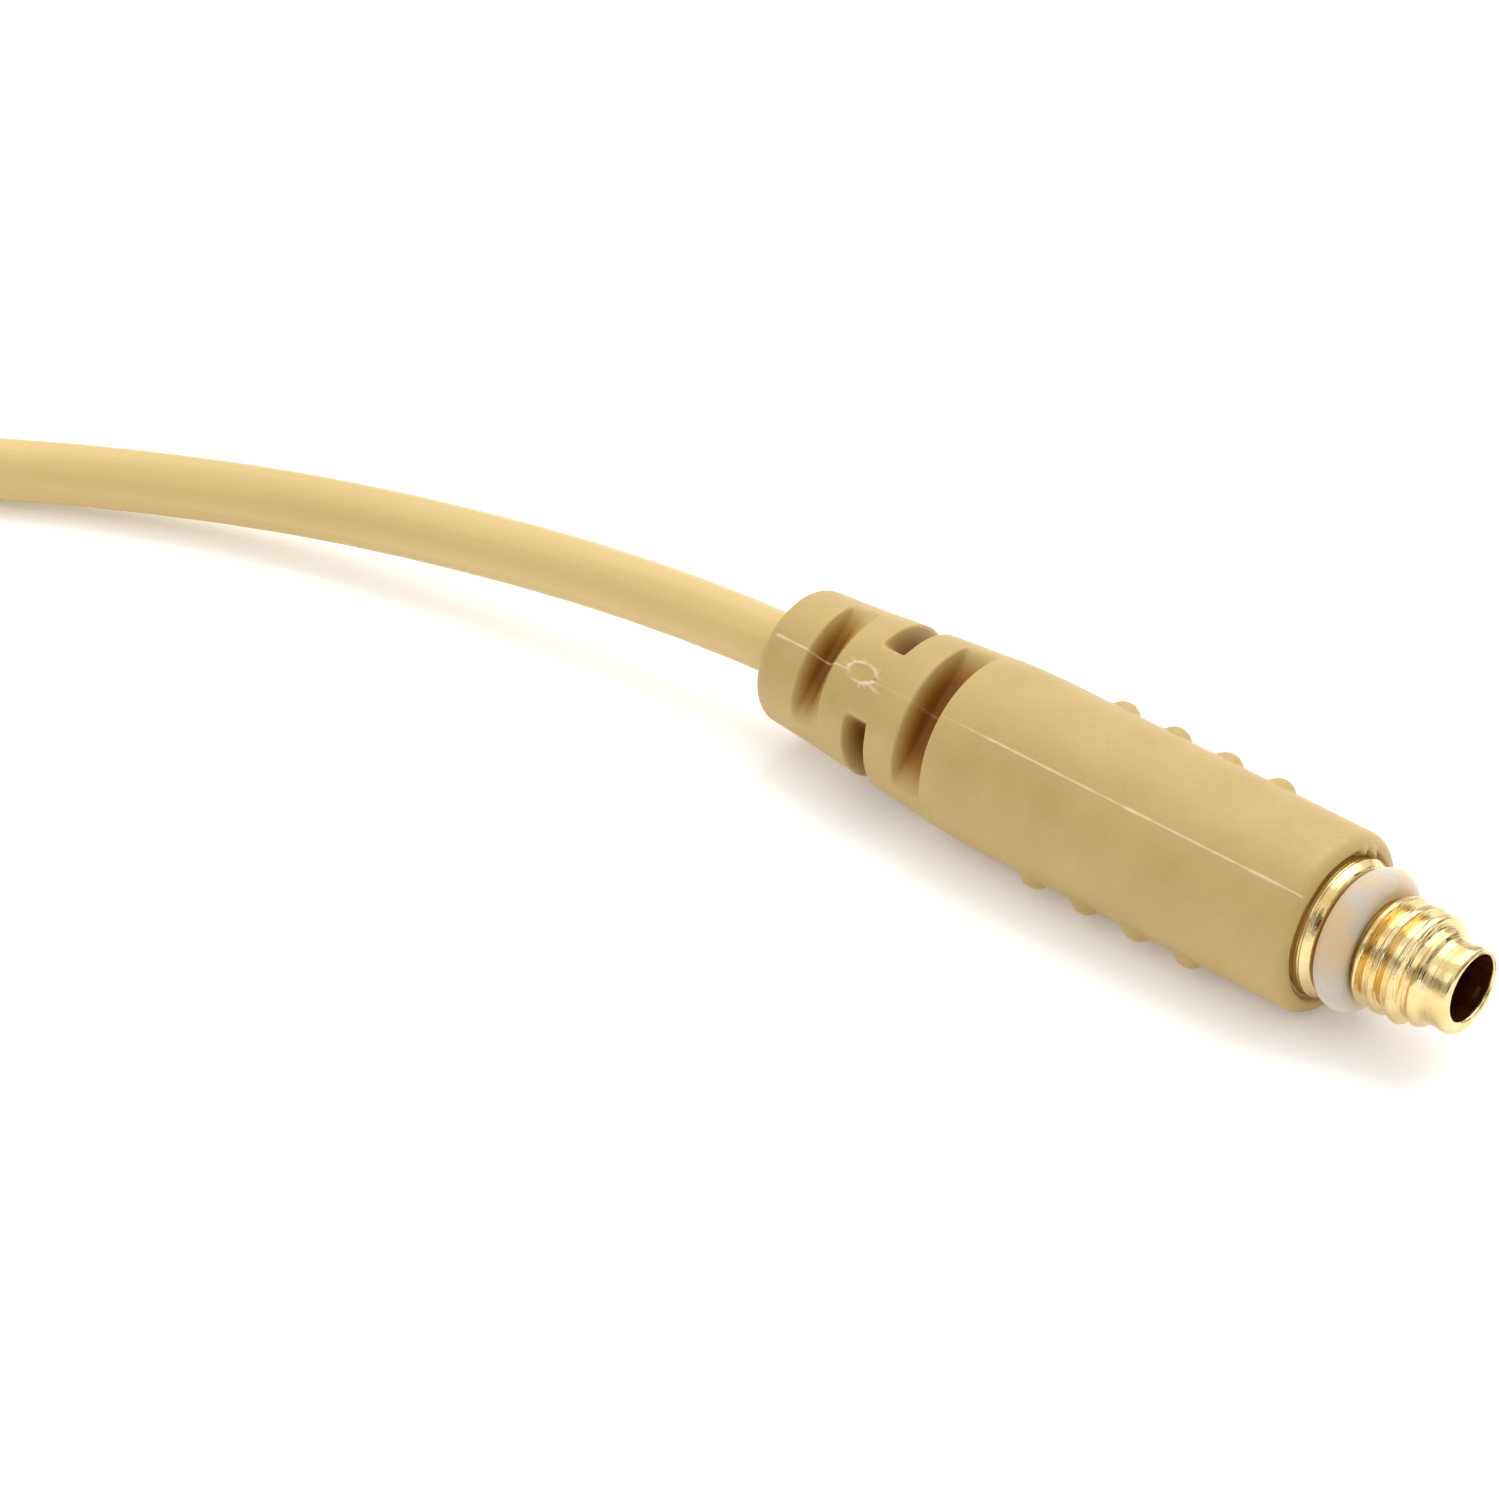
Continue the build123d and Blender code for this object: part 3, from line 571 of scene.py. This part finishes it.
def bore_painted_shade():
    """The bore's wall, painted dark red-brown as the shade deep inside the bore: glossy, with a few specks.
    """
    material, tree, shader = new_material("bore_painted_shade", (0.035, 0.008, 0.002), 0.16)
    shade = object_noise(tree, 1.6, 3.0)
    coloured(tree, shader, shade, (0.3, (0.02, 0.004, 0.001)), (0.7, (0.075, 0.016, 0.003)))
    bumped(tree, shader, (object_noise(tree, 5.0, 3.0), 0.3, 0.02))
    return material


gold = gold_plate()
body_angles = turn_angles(180)
body_rings = body_stations()
tip_body = add_piece("tip_body", ring_mesh("tip_body", body_rings, body_angles, body_place, ("along",)), gold)
tip_body.data.materials.append(bore_painted_shade())
# the bore's last bands of faces take the painted shade material
for face in tip_body.data.polygons:
    if face.index >= (len(body_rings) - BORE_BANDS) * len(body_angles):
        face.material_index = 1
fit(tip_body, "headset", "gold", "connector_body")


# ---- centre contact -----------------------------------------------------------------------------
# A slim gold pin in the middle of the bore, turned with a rounded tip that stays behind the nose.
PIN_R, PIN_TIP = 0.25, 26.5
pin_profile = [(15.0, 0.02), (15.0, 0.5), (16.4, 0.5), (16.4, 0.8), (18.9, 0.8), (18.9, PIN_R), (24.0, PIN_R)]
pin_profile += [(PIN_TIP - 0.18 + 0.18 * math.sin(math.radians(a)), 0.07 + 0.18 * math.cos(math.radians(a)))
                for a in range(0, 91, 15)]
pin_profile.append((PIN_TIP, 0.002))


def pin_place(station, angle):
    """A point of the pin, which leans over with the bore where it shows."""
    t, radius = station
    return (t, radius * math.sin(angle) + BORE_SHIFT * (t > 23), radius * math.cos(angle)), t


pin_mesh = ring_mesh("contact_pin", pin_profile, turn_angles(32), pin_place, ("along",))
contact = add_piece("contact_pin", pin_mesh, gold)
fit(contact, "headset", "gold", "centre_contact")


# ---- sealing ring -------------------------------------------------------------------------------
# A soft milky silicone ring squeezed between the flange and the thread. Light passes through it and
# comes back warm from the gold.
RING_MID_R, RING_THICK = 1.845, 1.15


def seal_place(station, angle):
    """A point of the ring's round section, a little uneven."""
    t = FLANGE_FRONT + 0.57 - 0.5 * RING_THICK * math.cos(station)
    radius = RING_MID_R + 0.5 * RING_THICK * math.sin(station)
    radius += 0.015 * noise.noise(Vector((math.sin(angle) * 1.5, math.cos(angle) * 1.5, t)))
    return ((t, radius * math.sin(angle), radius * math.cos(angle)),)


def milky_silicone():
    """Frosted translucent silicone: cloudy, barely glossy, with a warm glow from within."""
    material, tree, shader = new_material(
        "milky_silicone", (0.62, 0.53, 0.41), 0.6, Specular_IOR_Level=0.25, Subsurface_Weight=0.7,
        Subsurface_Radius=(1.0, 0.7, 0.45), Subsurface_Scale=0.8 * MM, Transmission_Weight=0.12, IOR=1.2)
    haze = object_noise(tree, 0.9, 3.0)
    coloured(tree, shader, haze, (0.40, (0.66, 0.49, 0.31)), (0.60, (0.56, 0.52, 0.44)))
    bumped(tree, shader, (object_noise(tree, 6.0, 3.0), 0.25, 0.02))
    return material


seal_round = [2 * math.pi * i / 32 for i in range(33)]
seal = add_piece("seal", ring_mesh("seal", seal_round, body_angles, seal_place), milky_silicone())
fit(seal, "headset", "seal", "sealing_ring")


# ---- swept rounds -------------------------------------------------------------------------------
# Tubes, wires and the spring are all one round section carried along a path of straights and arcs.
def filleted(corners, radii, step=0.4):
    """Points along straight runs joined by tangent arcs, in millimetres."""
    corners = [Vector(c) for c in corners]
    points = [corners[0]]
    for before, here, after, radius in zip(corners, corners[1:], corners[2:], radii):
        run_in, run_out = (here - before).normalized(), (after - here).normalized()
        half = run_in.angle(run_out) / 2
        enter = here - run_in * radius * math.tan(half)
        inward = (run_out - run_in).normalized()
        centre = here + inward * radius / math.cos(half)
        arm = enter - centre
        axis = run_in.cross(run_out).normalized()
        pieces = max(2, round(2 * half * radius / step))
        points += [centre + Matrix.Rotation(2 * half * i / pieces, 3, axis) @ arm for i in range(pieces + 1)]
    points.append(corners[-1])
    return points


def sweep_tree():
    """Geometry Nodes that carry a round section along a curve, thick as the curve's own radius says."""
    tree = bpy.data.node_groups.new("swept_round", "GeometryNodeTree")
    sockets = tree.interface
    for name, kind in (("Path", "Geometry"), ("Radius", "Float"), ("Sides", "Int"), ("Finish", "Material")):
        sockets.new_socket(name, in_out="INPUT", socket_type="NodeSocket" + kind)
    sockets.new_socket("Solid", in_out="OUTPUT", socket_type="NodeSocketGeometry")
    inputs = tree.nodes.new("NodeGroupInput")
    section = tree.nodes.new("GeometryNodeCurvePrimitiveCircle")
    carry = tree.nodes.new("GeometryNodeCurveToMesh")
    real = tree.nodes.new("GeometryNodeRealizeInstances")
    smooth = tree.nodes.new("GeometryNodeSetShadeSmooth")
    finish = tree.nodes.new("GeometryNodeSetMaterial")
    output = tree.nodes.new("NodeGroupOutput")
    thickness = tree.nodes.new("GeometryNodeInputRadius")
    carry.inputs["Fill Caps"].default_value = True
    for source, given, target, taken in (
            (thickness, "Radius", carry, "Scale"), (inputs, "Path", carry, "Curve"),
            (inputs, "Radius", section, "Radius"), (inputs, "Sides", section, "Resolution"),
            (section, "Curve", carry, "Profile Curve"), (carry, "Mesh", smooth, "Geometry"),
            (smooth, "Geometry", real, "Geometry"), (real, "Geometry", finish, "Geometry"),
            (inputs, "Finish", finish, "Material"), (finish, "Geometry", output, "Solid")):
        link(tree, source.outputs[given], target.inputs[taken])
    return tree


def from_modifier(name, data, tree, **values):
    """Runs a Geometry Nodes tree on some data and keeps the plain mesh it makes."""
    source = bpy.data.objects.new(name, data)
    scene.collection.objects.link(source)
    modifier = source.modifiers.new(tree.name, "NODES")
    modifier.node_group = tree
    for socket in tree.interface.items_tree:
        if socket.in_out == "INPUT" and socket.name in values:
            modifier[socket.identifier] = values[socket.name]
    view = bpy.context.evaluated_depsgraph_get()
    mesh = bpy.data.meshes.new_from_object(source.evaluated_get(view))
    mesh.name = name
    bpy.data.objects.remove(source)
    return add_piece(name, mesh, smooth=False)


SWEPT_ROUND = sweep_tree()


def swept(name, paths, diameter, finish, sides=20, widths=None):
    """A round bar along each path; widths scale its thickness from point to point."""
    curve = bpy.data.curves.new(name, "CURVE")
    curve.dimensions = "3D"
    for path in paths:
        line = curve.splines.new("POLY")
        line.points.add(len(path) - 1)
        for i, (point, place) in enumerate(zip(line.points, path)):
            point.co = (*(Vector(place) * MM), 1)
            point.radius = widths[i] if widths else 1
    return from_modifier(name, curve, SWEPT_ROUND, Radius=diameter / 2 * MM, Sides=sides, Finish=finish)


# ---- ear hook -----------------------------------------------------------------------------------
# A springy wire and the mic cable share one soft sleeve that loops round the ear. Its tail is a
# moulded strain relief with shallow rings, from which the cord leaves.
PIVOT = Vector((-30.94, 3.20, 0))
HOOK_RUNS = [(0, 5.2, 2.8), (0, 27, 2.8), (-31, 27, 1.6), (-34, -6, 1.6), (-27, -16, 1.6), (-27, -27, 1.6)]
HOOK_RADII = [13.4, 13.4, 14.0, 14.0]
SLEEVE_D, TAIL_L, TAIL_TIP_D = 3.2, 8.0, 2.8
TAIL_RINGS, RING_DEPTH = 5, 0.28


def tail_width(along):
    """The tail's diameter: a slow taper with a ring groove every so often."""
    share = min(max(along / TAIL_L, 0), 1)
    width = SLEEVE_D + (TAIL_TIP_D - SLEEVE_D) * share
    if 0.12 < share < 0.9:
        groove = math.cos(2 * math.pi * (share - 0.12) / 0.78 * TAIL_RINGS)
        width -= RING_DEPTH * smooth_step(-groove, 0.1, 0.7)
    return width


def soft_sleeve():
    """Soft satin thermoplastic with a rubbed, slightly cloudy surface."""
    material, tree, shader = new_material("soft_sleeve", (0.488, 0.337, 0.138), 0.42)
    cloud = object_noise(tree, 0.35, 4.0)
    coloured(tree, shader, cloud, (0.3, (0.459, 0.308, 0.12)), (0.7, (0.518, 0.366, 0.157)))
    rub = object_noise(tree, 1.6, 5.0)
    roughened(tree, shader, rub, (0.3, 0.36), (0.7, 0.52))
    bumped(tree, shader, (object_noise(tree, 11.0, 3.0), 0.2, 0.012))
    return material


sleeve_finish = soft_sleeve()
hook_path = [PIVOT + p for p in filleted(HOOK_RUNS, HOOK_RADII)]
hook_sleeve = swept("ear_hook", [hook_path], SLEEVE_D, sleeve_finish, sides=28)
fit(hook_sleeve, "headset", "skin_rubber", "hook_sleeve")

tail_steps = [TAIL_L * i / 120 for i in range(121)]
tail_path = [PIVOT + Vector(HOOK_RUNS[-1]) - Vector((0, t, 0)) for t in tail_steps]
hook_tail = swept("hook_strain_relief", [tail_path], 1.0, sleeve_finish, sides=36,
                  widths=[tail_width(t) for t in tail_steps])
fit(hook_tail, "headset", "skin_rubber", "hook_tail")


# ---- swivel housing -----------------------------------------------------------------------------
# Two moulded half shells in skin-tone plastic, screwed together over the boom's drum. Every outer
# edge is eased, and the surface has the fine even grain of an etched mould.
def eased_copy(node, name, width, finish, body, slot, angle=32.0):
    """A copy of a CAD node with its sharp edges softened."""
    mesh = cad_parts[node].data.copy()
    mesh.name = name
    work = bmesh.new()
    work.from_mesh(mesh)
    bmesh.ops.remove_doubles(work, verts=work.verts, dist=0.002 * MM)
    bmesh.ops.dissolve_limit(work, angle_limit=math.radians(0.5), verts=work.verts, edges=work.edges)
    work.to_mesh(mesh)
    work.free()
    mesh.materials.clear()
    piece = add_piece(name, mesh, finish)
    ease = piece.modifiers.new("ease", "BEVEL")
    ease.width = width * MM
    ease.segments = 2
    ease.limit_method = "ANGLE"
    ease.angle_limit = math.radians(angle)
    ease.harden_normals = True
    view = bpy.context.evaluated_depsgraph_get()
    piece.data = bpy.data.meshes.new_from_object(piece.evaluated_get(view))
    piece.modifiers.clear()
    fit(piece, body, slot, node)
    return piece


def etched_plastic():
    """Satin skin-tone ABS: mould-etched grain, faint flow mottling, a little polish where it is handled."""
    material, tree, shader = new_material("etched_plastic", (0.503, 0.352, 0.151), 0.45)
    flow = object_noise(tree, 0.25, 3.0)
    coloured(tree, shader, flow, (0.3, (0.481, 0.33, 0.138)), (0.7, (0.525, 0.374, 0.164)))
    polish = object_noise(tree, 0.7, 4.0)
    roughened(tree, shader, polish, (0.35, 0.34), (0.65, 0.5))
    where = add_node(tree, "ShaderNodeTexCoord")
    etch = add_node(tree, "ShaderNodeTexVoronoi", Scale=5.0 / MM)
    link(tree, where.outputs["Object"], etch.inputs["Vector"])
    bumped(tree, shader, (etch.outputs["Distance"], 0.3, 0.02))
    return material


def brushed_steel():
    """Bare stainless steel with a fine turned and drawn grain."""
    material, tree, shader = new_material("brushed_steel", (0.62, 0.61, 0.59), 0.3, 1.0)
    grain = object_noise(tree, 6.0, 3.0, (1.0, 1.0, 8.0))
    coloured(tree, shader, grain, (0.3, (0.52, 0.51, 0.49)), (0.7, (0.70, 0.69, 0.67)))
    roughened(tree, shader, grain, (0.3, 0.2), (0.7, 0.38))
    bumped(tree, shader, (grain, 0.15, 0.01))
    return material


plastic_finish, steel_finish = etched_plastic(), brushed_steel()
eased_copy("housing_lower", "pod_lower_shell", 0.12, plastic_finish, "headset", "skin_plastic")
eased_copy("housing_upper", "pod_upper_shell", 0.12, plastic_finish, "headset", "skin_plastic")
eased_copy("housing_screw", "pod_screw", 0.06, steel_finish, "headset", "steel")


# ---- boom and capsule ---------------------------------------------------------------------------
# A thin stainless tube enamelled in skin tone swings with its drum. At its end a small turned can
# holds the electret capsule behind a punched metal front.
BOOM_D = 1.8
BOOM_RUNS = [(2.4, 0, 2.8), (32, 0, 2.8), (62, -5, 3.6), (84, -14, 4.3)]
BOOM_RADII = [60.0, 45.0]
CAN_PROFILE = [(-1.0, 0.92), (-1.0, 1.2), (-0.92, 1.28), (0.0, 1.88), (0.6, 2.26), (0.85, 2.38), (1.05, 2.4),
               (7.30, 2.4), (7.38, 2.38), (7.42, 2.3), (7.62, 2.3), (7.66, 2.38), (7.74, 2.4), (8.85, 2.4),
               (8.96, 2.36), (9.0, 2.28), (9.0, 2.12), (8.95, 2.06), (5.0, 2.05), (1.2, 2.05), (0.1, 1.25)]


def enamel():
    """Thin sprayed enamel with slight orange peel and a soft gloss."""
    material, tree, shader = new_material("enamel", (0.503, 0.352, 0.157), 0.3, Coat_Weight=0.35,
                                          Coat_Roughness=0.15)
    cloud = object_noise(tree, 0.5, 3.0)
    coloured(tree, shader, cloud, (0.3, (0.488, 0.337, 0.145)), (0.7, (0.525, 0.374, 0.17)))
    bumped(tree, shader, (object_noise(tree, 2.2, 2.0), 0.12, 0.03),
           (object_noise(tree, 12.0, 3.0), 0.1, 0.008))
    return material


enamel_finish = enamel()
boom_path = [PIVOT + p for p in filleted(BOOM_RUNS, BOOM_RADII, 0.8)]
boom = swept("boom", [boom_path], BOOM_D, enamel_finish, sides=28)
fit(boom, "boom", "skin_enamel", "boom_tube", "boom_cable")

boom_end = PIVOT + Vector(BOOM_RUNS[-1])
boom_along = (Vector(BOOM_RUNS[-1]) - Vector(BOOM_RUNS[-2])).normalized()
boom_side = Vector((0, 0, 1)).cross(boom_along).normalized()
boom_up = boom_along.cross(boom_side)


def boom_point(t, y, z):
    """A point in the frame of the boom's end, in metres."""
    return (boom_end + t * boom_along + y * boom_side + z * boom_up) * MM


def can_place(station, angle):
    """A point of the can's turned wall."""
    t, radius = station
    return ((t, radius * math.cos(angle), radius * math.sin(angle)),)


can_mesh = ring_mesh("mic_can", CAN_PROFILE + CAN_PROFILE[:1], turn_angles(72), can_place,
                     place_point=boom_point)
can = add_piece("mic_can", can_mesh, enamel_finish)
fit(can, "boom", "skin_enamel", "capsule_can")
eased_copy("front_mesh", "punched_front", 0.02, steel_finish, "boom", "steel")
eased_copy("swivel_drum", "boom_drum", 0.08, plastic_finish, "boom", "acetal")


# ---- foam windscreen ----------------------------------------------------------------------------
# A ground open-cell foam sleeve that pulls off forwards over the capsule. Its skin is all small
# torn cells, and its mouth is a little flared where it is gripped.
FOAM_PROFILE = [(1.8, 2.46), (1.72, 2.7), (1.8, 3.1), (2.1, 3.6), (2.8, 3.95), (4.0, 4.12), (6.8, 4.16),
                (9.6, 4.1), (11.2, 3.82), (12.4, 3.2), (13.2, 2.2), (13.62, 1.1), (13.72, 0.02)]
CELL = 0.42


def foam_outline(step):
    """The foam's profile at even steps, smoothed between its points."""
    line = []
    for (t1, r1), (t2, r2) in zip(FOAM_PROFILE, FOAM_PROFILE[1:]):
        count = max(1, round(math.hypot(t2 - t1, r2 - r1) / step))
        line += [(t1 + (t2 - t1) * i / count, r1 + (r2 - r1) * i / count) for i in range(count)]
    for _ in range(6):
        line = [line[0]] + [tuple((a + 2 * b + c) / 4 for a, b, c in zip(*three))
                            for three in zip(line, line[1:], line[2:])] + [line[-1]]
    return line + [FOAM_PROFILE[-1]]


def foam_place(station, angle):
    """A point of the foam's torn skin, and whether it lies in a pit."""
    t, radius = station
    spot = Vector((t, radius * math.cos(angle), radius * math.sin(angle))) / CELL
    torn = noise.voronoi(spot)[0]
    pit = smooth_step(torn[1] - torn[0], 0.0, 0.35)
    depth = 0.13 * (1 - pit) * smooth_step(radius, 0.0, 0.6)
    radius = max(radius + 0.10 - depth - 0.05 * noise.noise(spot * 0.35), 0.01)
    return (t, radius * math.cos(angle), radius * math.sin(angle)), 1 - pit


def open_cell_foam():
    """Matte polyurethane foam with painted shade in its pits, so its torn cell walls stand out lighter and
    catch the light.
    """
    material, tree, shader = new_material("open_cell_foam", (0.429, 0.293, 0.126), 0.95, Sheen_Weight=0.3,
                                          Sheen_Roughness=0.6)
    where = add_node(tree, "ShaderNodeTexCoord")
    cells = add_node(tree, "ShaderNodeTexVoronoi", Scale=3.2 / MM, feature="DISTANCE_TO_EDGE")
    link(tree, where.outputs["Object"], cells.inputs["Vector"])
    # painted shade: each cell darkens from its walls towards its middle, and the marked pits and bore take
    # that darker colour
    pits = ramp(tree, cells.outputs["Distance"], (0.02, (0.577, 0.409, 0.186)), (0.28, (0.36, 0.23, 0.10)))
    colour = mixed(tree, attribute(tree, "pit"), (0.577, 0.409, 0.186), pits)
    link(tree, colour, shader.inputs["Base Color"])
    bumped(tree, shader, (cells.outputs["Distance"], 0.9, 0.12))
    return material


def bore_place(station, angle):
    """A point of the foam's smooth bore, all painted as dark as a pit to stand for its shade."""
    t, radius = station
    return (t, radius * math.cos(angle), radius * math.sin(angle)), 1.0


foam_inner = [(11.0, 0.02), (9.4, 1.2), (9.2, 2.4), (6.0, 2.42), (3.0, 2.42)]
foam_angles = turn_angles(180)
foam_skin = ring_mesh("foam_windscreen", foam_outline(0.12), foam_angles, foam_place, ("pit",), boom_point)
foam_bore = ring_mesh("foam_bore", foam_inner + [FOAM_PROFILE[0]], foam_angles, bore_place, ("pit",),
                      boom_point)
work = bmesh.new()
work.from_mesh(foam_skin)
work.from_mesh(foam_bore)
bmesh.ops.remove_doubles(work, verts=work.verts, dist=0.01 * MM)
bmesh.ops.recalc_face_normals(work, faces=work.faces)
work.to_mesh(foam_skin)
work.free()
windscreen = add_piece("windscreen_foam", foam_skin, open_cell_foam())
fit(windscreen, "windscreen", "foam", "foam_windscreen")


# ---- garment clip -------------------------------------------------------------------------------
# A small moulded clip on the cord: a base the cord snaps into, a toothed jaw on a steel pin, and a
# steel coil spring round the pin that keeps the jaw shut.
CLIP_AT = Vector((-57.94, -40.4, 0))
PIN_Y, PIN_Z, SPRING_WIRE, SPRING_R, SPRING_TURNS = 1.0, 4.7, 0.3, 0.86, 4

clip_base = eased_copy("clip_base", "clip_base_shell", 0.1, plastic_finish, "headset", "skin_plastic")
clip_jaw = eased_copy("clip_jaw", "clip_jaw_lever", 0.1, plastic_finish, "jaw", "skin_plastic")
clip_pin = eased_copy("clip_pin", "clip_hinge_pin", 0.08, steel_finish, "headset", "steel")


def spring_path():
    """Close turns round the pin, with a leg at each end."""
    points = [CLIP_AT + Vector((-0.62, PIN_Y - 1.9, PIN_Z - 0.72))]
    steps = SPRING_TURNS * 24
    for i in range(steps + 1):
        angle = -math.pi / 2 - 2 * math.pi * SPRING_TURNS * i / steps
        x = -0.6 + 1.2 * i / steps
        y, z = PIN_Y + SPRING_R * math.cos(angle), PIN_Z + SPRING_R * math.sin(angle)
        points.append(CLIP_AT + Vector((x, y, z)))
    return points


spring = swept("clip_coil_spring", [spring_path()], SPRING_WIRE, steel_finish, sides=10)
fit(spring, "headset", "steel", "clip_spring")


# ---- cord tie -----------------------------------------------------------------------------------
# A flat plastic twist tie with a steel wire down its middle, passed round the coil and twisted.
COIL_BAND_W, COIL_BAND_H, TIE_TURN = 9.8, 8.6, math.radians(225)
TIE_WIRE, TAIL_LONG, TAIL_TWISTS, TAIL_REACH = 0.55, 3.4, 2.25, 0.34
TIE_SECTION = [(-1.5, 0.0), (-1.46, 0.11), (-0.4, 0.11), (-0.22, 0.26), (0, 0.32), (0.22, 0.26), (0.4, 0.11),
               (1.46, 0.11), (1.5, 0.0), (1.46, -0.11), (0, -0.11), (-1.46, -0.11)]


def tie_place(radial, level, across, lift=0.0):
    """A point near the coil at the tie, in metres: radial out from the coil's centre."""
    out = Vector((math.cos(TIE_TURN), math.sin(TIE_TURN), 0))
    side = Vector((-math.sin(TIE_TURN), math.cos(TIE_TURN), 0))
    return (COIL_CENTRE + (radial + lift) * out + across * side + Vector((0, 0, level))) * MM


def tie_loop():
    """The tie's path round the bundle: a rounded box a little proud of the turns, and its outward way."""
    half_w, half_h, corner = COIL_BAND_W / 2 + 0.18, COIL_BAND_H / 2 + 0.2, 2.0
    path = []
    for quarter in range(4):
        centre_x = (half_w - corner) * (1 if quarter in (0, 3) else -1)
        centre_z = (half_h - corner) * (1 if quarter in (0, 1) else -1)
        for i in range(13):
            angle = math.pi / 2 * (quarter + i / 12)
            path.append((centre_x + corner * math.cos(angle), centre_z + corner * math.sin(angle), angle))
    return path


def make_tie_band():
    """The tie's section carried round its closed loop."""
    mesh = bpy.data.meshes.new("tie_band")
    points, faces = [], []
    loop, section = tie_loop(), TIE_SECTION
    middle = COIL_LOW + COIL_BAND_H / 2
    for x, z, angle in loop:
        for across, proud in section:
            points.append(tie_place(COIL_MEAN_R + x + proud * math.cos(angle),
                                    middle + z + proud * math.sin(angle), across))
    for i in range(len(loop)):
        for j in range(len(section)):
            a, b = i * len(section), (i + 1) % len(loop) * len(section)
            k = (j + 1) % len(section)
            faces.append((a + j, a + k, b + k, b + j))
    mesh.from_pydata(points, [], faces)
    work = bmesh.new()
    work.from_mesh(mesh)
    bmesh.ops.recalc_face_normals(work, faces=work.faces)
    work.to_mesh(mesh)
    work.free()
    return mesh


def tie_plastic():
    """Thin glossy black film over a wire, with fine stretch lines."""
    material, tree, shader = new_material("tie_plastic", (0.03, 0.03, 0.03), 0.3)
    lines = object_noise(tree, 3.0, 3.0, (1.0, 1.0, 6.0))
    coloured(tree, shader, lines, (0.3, (0.02, 0.02, 0.02)), (0.75, (0.055, 0.055, 0.06)))
    roughened(tree, shader, lines, (0.3, 0.22), (0.7, 0.42))
    bumped(tree, shader, (lines, 0.25, 0.03))
    return material


def tail_strand(phase):
    """One of the tie's two ends, twisted round the other."""
    points = []
    for i in range(49):
        share = i / 48
        angle = phase + 2 * math.pi * TAIL_TWISTS * share
        out = COIL_MEAN_R + COIL_BAND_W / 2 + 0.45 + TAIL_LONG * share
        reach = TAIL_REACH * smooth_step(share, -0.2, 0.2)
        points.append(tie_place(out, 5.0 + reach * math.sin(angle), reach * math.cos(angle)) / MM)
    return points


tie_finish = tie_plastic()
tie_band = add_piece("tie_band", make_tie_band(), tie_finish)
tie_tails = swept("tie_tails", [tail_strand(0), tail_strand(math.pi)], TIE_WIRE, tie_finish, sides=10)
for piece in (tie_band, tie_tails):
    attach(piece, "headset")
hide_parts("cord_tie")


# ---- small parts left as turned or cut ----------------------------------------------------------
# Wires, insulators, crimp and capsule parts sit inside the others and mostly show when they are off.
def plain_finish(name, dark, light, rough, metal, lumps):
    """A simple finish with a mottled tone and a fine grain."""
    material, tree, shader = new_material(name, light, rough, metal)
    grain = object_noise(tree, lumps, 4.0)
    coloured(tree, shader, grain, (0.3, dark), (0.7, light))
    bumped(tree, shader, (grain, 0.2, 0.01))
    return material


PLAIN_FINISHES = [
    ("copper_wire", (0.66, 0.30, 0.16), (0.80, 0.42, 0.25), 0.3, 1.0, 3.0, "copper",
     ["shield_braid", "core_conductor"]),
    ("tinned_brass", (0.55, 0.53, 0.49), (0.68, 0.66, 0.62), 0.35, 1.0, 3.0, "ferrule", ["crimp_ferrule"]),
    ("solder_grey", (0.48, 0.48, 0.50), (0.62, 0.62, 0.64), 0.28, 1.0, 3.0, "solder", ["solder_joint"]),
    ("white_ptfe", (0.74, 0.74, 0.72), (0.86, 0.86, 0.84), 0.45, 0.0, 3.0, "ptfe",
     ["core_insulation", "front_insulator", "rear_insulator"]),
    ("black_premould", (0.02, 0.02, 0.02), (0.05, 0.05, 0.05), 0.5, 0.0, 3.0, "premould", ["inner_premould"]),
    ("inner_jacket", (0.30, 0.29, 0.28), (0.42, 0.41, 0.40), 0.5, 0.0, 3.0, "inner_jacket", ["inner_cable"]),
    ("green_board", (0.01, 0.12, 0.04), (0.02, 0.22, 0.08), 0.4, 0.0, 5.0, "board", ["amplifier_board"]),
    ("black_rubber", (0.02, 0.02, 0.02), (0.05, 0.05, 0.05), 0.7, 0.0, 3.0, "seal", ["capsule_gasket"]),
]
INNER_FINISHES = [(plain_finish(*look), slot, names) for *look, slot, names in PLAIN_FINISHES]
INNER_FINISHES += [(steel_finish, "steel", ["hook_wire", "electret_capsule"]),
                   (cord_paint, "cord_jacket", ["cord_jacket_end"])]
for finish, slot, names in INNER_FINISHES:
    for name in names:
        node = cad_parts[name]
        node.data.materials.clear()
        node.data.materials.append(finish)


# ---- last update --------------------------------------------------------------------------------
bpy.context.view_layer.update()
